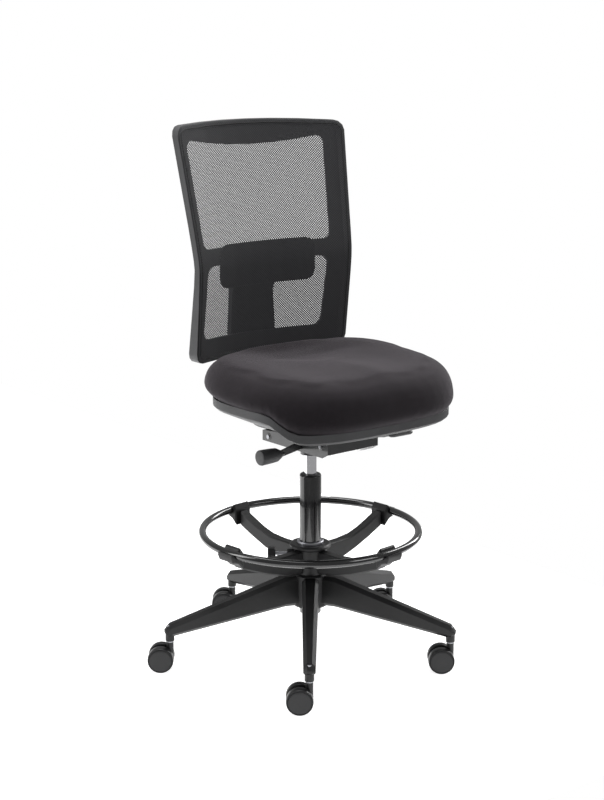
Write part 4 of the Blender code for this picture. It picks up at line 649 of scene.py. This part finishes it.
def inflate(target, reach, pinned_below, pressure=4.0, steps=20):
    """Swell a closed form with cloth under pressure, capped at a reach."""
    start = [Vector(vert.co) for vert in target.data.vertices]
    pins = target.vertex_groups.new(name="tucked_under")
    held = [vert.index for vert in target.data.vertices if vert.co.z < pinned_below]
    pins.add(held, 1.0, "REPLACE")
    cloth = target.modifiers.new("cloth", "CLOTH")
    cloth.settings.quality = 5
    cloth.settings.mass = 0.3
    cloth.settings.tension_stiffness = 18.0
    cloth.settings.compression_stiffness = 18.0
    cloth.settings.bending_stiffness = 4.0
    cloth.settings.use_pressure = True
    cloth.settings.uniform_pressure_force = pressure
    cloth.settings.vertex_group_mass = pins.name
    cloth.settings.effector_weights.gravity = 0.0
    cloth.point_cache.frame_start = 1
    cloth.point_cache.frame_end = steps
    for step in range(1, steps + 1):
        SCENE.frame_set(step)
    apply_all(target)
    SCENE.frame_set(1)
    for vert, home in zip(target.data.vertices, start):
        move = vert.co - home
        if move.length > reach:
            vert.co = home + move * (reach / move.length)


even_squares(pad, REMESH)
inflate(pad, SWELL_REACH, cushion_low.z + TUCK_HEIGHT)
print("cushion points", len(pad.data.vertices))


# %% [markdown]
# Air alone gives a balloon.  What stops it on the real seat is the foam: the cloth can only
# stand a few millimetres off it, and never sinks in.  So every point is brought back to
# within a small distance of the foam's own surface, and wrinkles smaller than a hand are
# smoothed, because upholstery this tight has none.

# %% Lay the cloth on the foam
STAND_OFF = 0.0020
SINK = 0.0015


def lay_on_foam(target):
    """Keep each point within a narrow layer about the cushion's solid."""
    foam = surface_of("seat_cushion")
    moved = 0
    for vert in target.data.vertices:
        near, normal, _, _ = foam.find_nearest(vert.co)
        height = (vert.co - near).dot(normal)
        kept = min(max(height, -SINK), STAND_OFF)
        if kept != height:
            moved += 1
            vert.co = near + normal * kept
    return moved


def relax(target, times):
    """Even out wrinkles, each point moving half-way to its neighbours."""
    smoothing = target.modifiers.new("even_out", "SMOOTH")
    smoothing.factor = 0.5
    smoothing.iterations = times
    apply_all(target)


relax(pad, 40)
print("points brought back to the foam", lay_on_foam(pad))
relax(pad, 14)

# %% [markdown]
# The foam's top is moulded: a shallow hollow for the sitter, a soft ridge each side, and an
# edge that rolls down at the front.  A few smooth hills and hollows are added along Z, then
# one Subdivision smooths the result.

# %% Mould the top
def hill(value, centre, width):
    """A smooth bump of height 1."""
    return math.exp(-((value - centre) / width) ** 2)


TOP_SHARE = 0.55        # above this share of its height the cushion counts as top


def mould_top(target):
    """Raise and sink the top by smooth hills and hollows, none of them over 5 mm."""
    for vert in target.data.vertices:
        rise = (vert.co.z - cushion_low.z) / (cushion_high.z - cushion_low.z)
        if rise < TOP_SHARE:
            continue
        share = min(1.0, (rise - TOP_SHARE) * 3.0)
        across = (vert.co.x - seat_middle.x) / SEAT_HALF.x
        along = (vert.co.y - seat_middle.y) / SEAT_HALF.y
        side_ridge = hill(abs(across), 0.70, 0.17) * hill(along, -0.05, 0.70)
        pommel = hill(across, 0.03, 0.13) * hill(along, -0.50, 0.42)
        thighs = hill(abs(across), 0.38, 0.20) * hill(along, -0.35, 0.55)
        hollow = hill(across, 0.0, 0.42) * hill(along, 0.32, 0.36)
        vert.co.z += share * (0.0022 * side_ridge + 0.0040 * pommel
                              - 0.0030 * thighs - 0.0040 * hollow)


mould_top(pad)
subdivide = pad.modifiers.new("fine", "SUBSURF")
subdivide.levels = 1
subdivide.render_levels = 1
apply_all(pad)
pad.data.materials.clear()
pad.data.materials.append(SEAT_CLOTH)
pad.data.shade_smooth()
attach(pad, "seat")
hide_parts("seat_cushion")
print("cushion faces", len(pad.data.polygons))

# %% [markdown]
# ## The mesh back
#
# The knit is stretched over the frame and its edge is locked into a groove.  It has to
# follow the frame exactly, so its outline is read from the frame's own solid: at each
# height, where is the widest point, and how far back is the surface?

# %% Reading the back's outline
SHEET = NODES["back_mesh"]
sheet_low, sheet_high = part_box("back_mesh")
BACK_X = (sheet_low.x + sheet_high.x) / 2
CORNER_REACH = 0.19     # further out than this, the top edge is down at its corners
ARCH_LOW = max(v.co.z for v in SHEET.data.vertices if abs(v.co.x - BACK_X) > CORNER_REACH)


@functools.cache
def widest(height):
    """Half the sheet's width at a height, from the edges that cross it."""
    reach = 0.0
    verts = SHEET.data.vertices
    for edge in SHEET.data.edges:
        first = verts[edge.vertices[0]].co
        second = verts[edge.vertices[1]].co
        if (first.z - height) * (second.z - height) > 0.0 or first.z == second.z:
            continue
        share = (height - first.z) / (second.z - first.z)
        reach = max(reach, abs(first.x + (second.x - first.x) * share - BACK_X))
    return reach


SHEET_TREE = surface_of("back_mesh")


def sheet_y(across, height):
    """Y of the sheet's front face."""
    hit = SHEET_TREE.ray_cast(Vector((BACK_X + across, -1.0, height)), Vector((0.0, 1.0, 0.0)))
    return hit[0].y if hit[0] else None


print("sheet half width at its middle", round(widest((sheet_low.z + sheet_high.z) / 2), 4))

# %% [markdown]
# The cloth is a grid of rows laid on that surface.  Rows are close together at the top and
# bottom, where the corners are round, and even between.  Its top edge is arched, so the last
# rows are lifted towards the middle.

# %% Laying the cloth
CORNER = 0.026
ARCH_REACH = 0.12       # how far below the corners the rows begin to lift


def row_heights(low, high):
    """Heights of the cloth's rows: fine at the round corners, even between them."""
    fine = [0.0002, 0.0012, 0.003, 0.006, 0.010, 0.015, CORNER]
    count = 64
    between = [low + CORNER + (high - low - 2 * CORNER) * step / count for step in range(1, count)]
    return [low + step for step in fine] + between + [high - step for step in reversed(fine)]


def cloth_point(share, height, inset):
    """A point on the cloth: share runs from -1 at one side to 1 at the other."""
    reach = max(widest(height) - inset, 0.001)
    across = share * reach
    found = sheet_y(across, height)
    if found is None:
        found = sheet_y(across * 0.985, height)
    return Vector((BACK_X + across, found, height)) if found is not None else None


def lay_cloth(columns=56):
    """The whole cloth as one sheet of four-sided faces."""
    work = bmesh.new()
    rows = []
    centre_top = sheet_high.z
    for height in row_heights(sheet_low.z, ARCH_LOW):
        share_up = max(0.0, (height - (ARCH_LOW - ARCH_REACH)) / ARCH_REACH)
        row = []
        for column in range(columns + 1):
            share = -1.0 + 2.0 * column / columns
            lift = (centre_top - ARCH_LOW) * (1.0 - share ** 2) * share_up ** 2
            place = cloth_point(share, height, 0.0004)
            if place is None:
                place = row[-1].co.copy()
            high = sheet_y(place.x - BACK_X, min(height + lift, centre_top - 0.0003))
            place = Vector((place.x, high if high is not None else place.y, height + lift))
            row.append(work.verts.new(place))
        rows.append(row)
    for lower, upper in zip(rows, rows[1:]):
        for column in range(columns):
            work.faces.new((lower[column], lower[column + 1], upper[column + 1], upper[column]))
    mesh = bpy.data.meshes.new("mesh_back_cloth")
    work.to_mesh(mesh)
    work.free()
    return mesh


cloth_mesh = lay_cloth()
cloth = add("mesh_back_cloth", cloth_mesh, MESH_CLOTH, "back")
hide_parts("back_mesh")
area = sum(face.area for face in cloth_mesh.polygons)
WIDE_BELOW_TOP = 0.10   # how far below the top the width is taken
BOW_ALLOWANCE = 1.03    # allowed, not measured: the cloth runs round a bow
BEND_ALLOWANCE = 1.01   # allowed, not measured: and along a bend
flat_width = 2 * widest(sheet_high.z - WIDE_BELOW_TOP) * BOW_ALLOWANCE
flat_length = (sheet_high.z - sheet_low.z) * BEND_ALLOWANCE
min(area, flat_width * flat_length)
print("cloth", len(cloth_mesh.polygons), "faces, area", round(area, 4), "flat", flat_width, flat_length)

# %% [markdown]
# A cord sewn into the cloth's edge is pushed into the frame's groove all the way round.  It
# shows as a thin bead, with a line of stitches just inside it.

# %% Edge bead and stitches
BEAD_CORNER = 0.018


def edge_loop(inset, lift):
    """Points round the cloth at a distance in from its edge, standing proud of it."""
    low = sheet_low.z + inset
    high = ARCH_LOW - inset
    corner = BEAD_CORNER
    right = []
    for step in range(7):
        turn = math.radians(-90.0 + 90.0 * step / 6)
        height = low + corner + corner * math.sin(turn)
        right.append((widest(low + corner) - inset - corner + corner * math.cos(turn), height))
    for step in range(1, 34):
        height = low + corner + (high - low - 2 * corner) * step / 34
        right.append((widest(height) - inset, height))
    for step in range(7):
        turn = math.radians(90.0 * step / 6)
        height = high - corner + corner * math.sin(turn)
        right.append((widest(high - corner) - inset - corner + corner * math.cos(turn), height))
    arch = sheet_high.z - ARCH_LOW
    reach = right[-1][0]
    crown = [reach * (1.0 - step / 10) for step in range(1, 20)]
    over = [(across, high + arch * (1.0 - (across / reach) ** 2)) for across in crown]
    under = [(-right[0][0] + 2 * right[0][0] * step / 20, low) for step in range(1, 20)]
    left = [(-across, height) for across, height in reversed(right)]
    points = []
    for across, height in right + over + left + under:
        found = sheet_y(across, height)
        if found is not None:
            points.append(Vector((BACK_X + across, found - lift, height)))
    return points


BEAD = 0.0011
BEAD_INSET = 0.0065
BEAD_SUNK = -0.0002
bead_points = edge_loop(BEAD_INSET, BEAD_SUNK)
tube_along("mesh_edge_bead", bead_points, BEAD, NYLON, "back", closed=True, sides=2)


def stitches(points, length, gap, radius):
    """Short drawn-out balls laid end to end along a line."""
    work = bmesh.new()
    run = 0.0
    placed = 0
    for first, second in zip(points, points[1:] + points[:1]):
        span = (second - first).length
        way = (second - first).normalized()
        turn = way.to_track_quat("Z", "Y").to_matrix().to_4x4()
        while run < span:
            centre = first + way * run
            drawn_out = Matrix.Diagonal((1.0, 1.0, length / radius / 2, 1.0))
            bmesh.ops.create_uvsphere(work, u_segments=6, v_segments=4, radius=radius,
                                      matrix=Matrix.Translation(centre) @ turn @ drawn_out)
            placed += 1
            run += length + gap
        run -= span
    mesh = bpy.data.meshes.new("mesh_edge_stitches")
    work.to_mesh(mesh)
    work.free()
    return mesh, placed


STITCH_INSET = 0.0105
STITCH_PROUD = 0.0002
stitch_mesh, placed = stitches(edge_loop(STITCH_INSET, STITCH_PROUD),
                               length=0.0034, gap=0.0018, radius=0.0004)
add("mesh_edge_stitches", stitch_mesh, COVER_GREY, "back")
print("bead points", len(bead_points), "stitches", placed)

# %% [markdown]
# ## Fasteners
#
# Screws hold the carrier to the frame, the plate to the seat, and the clips to the arms.
# They are small, but without them a machine looks like a toy.  One socket-head screw is
# turned and its hexagon is cut with a Boolean, then it is put in each place.

# %% A socket-head screw
def screw_mesh(name, radius, height):
    """Button-head screw with a hexagon socket, standing on z = 0."""
    mesh = turned(name, [
        (0.0, height), (radius * 0.62, height), (radius * 0.88, height * 0.72),
        (radius, height * 0.25), (radius, 0.0), (0.0, 0.0),
    ], 24)
    body = bpy.data.objects.new(name, mesh)
    work = bmesh.new()
    bmesh.ops.create_cone(work, cap_ends=True, segments=6, radius1=radius * 0.45,
                          radius2=radius * 0.45, depth=height,
                          matrix=Matrix.Translation((0.0, 0.0, height * 0.95)))
    tool_mesh = bpy.data.meshes.new(name + "_socket")
    work.to_mesh(tool_mesh)
    work.free()
    tool = bpy.data.objects.new(name + "_socket", tool_mesh)
    for item in (body, tool):
        SCENE.collection.objects.link(item)
    cutting = body.modifiers.new("socket", "BOOLEAN")
    cutting.operation = "DIFFERENCE"
    cutting.object = tool
    bpy.context.view_layer.update()
    graph = bpy.context.evaluated_depsgraph_get()
    done = bpy.data.meshes.new_from_object(body.evaluated_get(graph))
    bpy.data.objects.remove(body)
    bpy.data.objects.remove(tool)
    return done


SCREW = screw_mesh("screw_form", radius=0.0048, height=0.0026)
CARRIER_SCREW_ACROSS = 0.036
CARRIER_SCREW_LOW = 0.028       # up from the carrier's foot
CARRIER_SCREW_HIGH = 0.022      # down from its top
SEAT_SCREW_ACROSS = 0.078
SEAT_SCREW_ALONG = 0.105


def put_screw(name, place, facing, body, finish=ZINC, scale=1.0):
    """A copy of the screw, standing on a surface."""
    mesh = SCREW.copy()
    mesh.materials.clear()
    turn = Vector(facing).to_track_quat("Z", "Y").to_matrix().to_4x4()
    mesh.transform(Matrix.Translation(place) @ turn @ Matrix.Diagonal((scale, scale, scale, 1.0)))
    add(name, mesh, finish, body, smooth=False)
    mesh.set_sharp_from_angle(angle=math.radians(35.0))


def outer_face(node, start, way):
    """Where a line first meets a solid."""
    hit = surface_of(node).ray_cast(Vector(start), Vector(way))
    return hit[0], hit[1]


carrier_low, carrier_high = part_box("back_carrier")
count = 0
for across in (-CARRIER_SCREW_ACROSS, CARRIER_SCREW_ACROSS):
    for height in (carrier_low.z + CARRIER_SCREW_LOW, carrier_high.z - CARRIER_SCREW_HIGH):
        place, normal = outer_face("back_carrier", (BACK_X + across, 1.0, height), (0.0, -1.0, 0.0))
        if place is not None:
            count += 1
            put_screw(f"carrier_screw_{count}", place, normal, "back", BLACK_STEEL)
plate_y = middle("seat_plate").y
for across in (-SEAT_SCREW_ACROSS, SEAT_SCREW_ACROSS):
    for along in (-SEAT_SCREW_ALONG, SEAT_SCREW_ALONG):
        count += 1
        below = (BACK_X + across, plate_y + along, 0.3)
        plate_bottom, _ = outer_face("seat_plate", below, (0.0, 0.0, 1.0))
        put_screw(f"seat_screw_{count}", plate_bottom, (0.0, 0.0, -1.0), "seat")
print("screws", count)

# %% [markdown]
# Each pivot pin is kept from sliding out by a black push-on washer at each end, and each foot
# ring clip is drawn on to its arm by one screw from below.  The washer is one more turned
# profile, and the screw is the same form made a little smaller.

# %% Washers on the pivot pins, screws in the clips
WASHER_WIDTH = 0.0042
WASHER_THICK = 0.0010
WASHER_GAP = 0.0001
CLIP_SCREW_SCALE = 0.8


def washer(name, place, facing, inner, body):
    """A flat ring with a sloped rim."""
    outer = inner + WASHER_WIDTH
    mesh = turned(name, [(inner, WASHER_THICK), (outer, WASHER_THICK * 0.6), (outer, 0.0),
                         (inner, 0.0), (inner, WASHER_THICK)], 24)
    turn = Vector(facing).to_track_quat("Z", "Y").to_matrix().to_4x4()
    mesh.transform(Matrix.Translation(place) @ turn)
    add(name, mesh, BLACK_STEEL, body, smooth=False)


housing_low, housing_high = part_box("mechanism_housing")
for pin, inner in (("seat_pivot_pin", 0.0041), ("back_pivot_pin", 0.0051)):
    centre = middle(pin)
    for side, wall in ((-1.0, housing_low.x), (1.0, housing_high.x)):
        name = f"{pin}_washer_{'left' if side > 0 else 'right'}"
        washer(name, (wall + side * WASHER_GAP, centre.y, centre.z), (side, 0.0, 0.0),
               inner, "lift")
for number in range(1, 5):
    clip = middle(f"footring_clip_{number}")
    spot, normal = outer_face(f"footring_clip_{number}", (clip.x, clip.y, 0.1), (0.0, 0.0, 1.0))
    if spot is not None:
        put_screw(f"clip_screw_{number}", spot, normal, "footring", scale=CLIP_SCREW_SCALE)
print("washers and clip screws placed, clips", number)

# %% [markdown]
# ## Floor
#
# Black things are seen by what they reflect, and a white floor all round would turn every
# black face grey.  So the glowing sheet under the chair ends just in front of it and reaches
# out only to the rear and to the left, as the camera sees it, where it lights left-hand sides.

# %% Floor
FLOOR_EDGE = [(0.90, -0.90), (0.90, 4.0), (-4.0, 4.0), (-4.0, 1.6), (-0.95, 0.2), (-0.95, -0.90)]


def floor_mesh(name):
    """One flat sheet inside the floor's edge."""
    mesh = bpy.data.meshes.new(name)
    mesh.from_pydata([(across, along, 0.0) for across, along in FLOOR_EDGE], [],
                     [tuple(range(len(FLOOR_EDGE)))])
    return mesh


FLOOR_GLOW = 0.80
FLOOR = Finish("studio_floor", Base_Color=(0.80, 0.80, 0.80), Roughness=0.7, Specular_Ior_Level=0.1,
               Emission_Color=(1.0, 1.0, 1.0), Emission_Strength=FLOOR_GLOW)
floor = bpy.data.objects.new("floor", floor_mesh("floor"))
SCENE.collection.objects.link(floor)
floor.data.materials.append(FLOOR.material)
print("floor corners", len(FLOOR_EDGE))

# %% [markdown]
# ## Room
#
# The background has to be plain white, but light from all round would wash out the blacks.
# A Light Path node tells the two apart: the camera sees the world at full strength, and
# every other ray meets it at a third of that.

# %% White to look at, dim to be lit by
ROOM_LIGHT = 0.33
world = bpy.data.worlds.new("studio")
SCENE.world = world
world.use_nodes = True
background = world.node_tree.nodes["Background"]
background.inputs["Color"].default_value = (1.0, 1.0, 1.0, 1.0)
rays = world.node_tree.nodes.new("ShaderNodeLightPath")
levels = world.node_tree.nodes.new("ShaderNodeMapRange")
levels.inputs["To Min"].default_value = ROOM_LIGHT
levels.inputs["To Max"].default_value = 1.0
world.node_tree.links.new(rays.outputs["Is Camera Ray"], levels.inputs["Value"])
world.node_tree.links.new(levels.outputs["Result"], background.inputs["Strength"])
print("room light", ROOM_LIGHT)

# %% [markdown]
# ## Lights
#
# Four large soft lights hang round the chair.  The two at the sides draw the long pale lines
# down the column and along the ring, and the one above shapes the seat.  The one in front is
# the dimmest, because it also greys the legs.

# %% Soft lights
def soft_light(name, place, target, width, height, power):
    """A glowing rectangle, turned to face a point."""
    lamp = bpy.data.lights.new(name, "AREA")
    lamp.shape = "RECTANGLE"
    lamp.size = width
    lamp.size_y = height
    lamp.energy = power
    made = bpy.data.objects.new(name, lamp)
    made.location = place
    made.rotation_euler = (Vector(target) - Vector(place)).to_track_quat("-Z", "Y").to_euler()
    SCENE.collection.objects.link(made)


AIM = (0.0, 0.0, 0.65)
soft_light("left", (-2.6, 1.3, 1.9), AIM, width=1.1, height=2.2, power=40.0)
soft_light("right", (2.9, 0.3, 2.0), AIM, width=0.7, height=2.2, power=45.0)
soft_light("top", (0.0, 0.3, 3.2), AIM, width=2.2, height=2.2, power=75.0)
soft_light("front", (1.2, -3.4, 2.6), AIM, width=1.8, height=1.2, power=34.0)
print("lights aimed at", AIM)

# %% [markdown]
# ## Camera
#
# The camera stands in front of the sitter's right, a little above the back, and looks down
# past the seat.  A long lens from well back keeps the legs of the base nearly in proportion.
# Its place is measured from the column, so it stays with the chair.

# %% The camera
CAMERA_FROM_COLUMN = Vector((-2.24156, -2.74503, 1.41304))
PITCH_DOWN = 12.7105
HEADING = 38.9201
LENS = 71.62
SENSOR = 36.0
lens = bpy.data.cameras.new("camera")
lens.lens = LENS
lens.sensor_width = SENSOR
camera = bpy.data.objects.new("camera", lens)
camera.location = Vector((COLUMN.x, COLUMN.y, 0.0)) + CAMERA_FROM_COLUMN
camera.rotation_euler = (math.radians(90.0 - PITCH_DOWN), 0.0, math.radians(-HEADING))
SCENE.collection.objects.link(camera)
SCENE.camera = camera
SCENE.view_settings.view_transform = "Standard"
print("camera at", [round(value, 3) for value in camera.location])
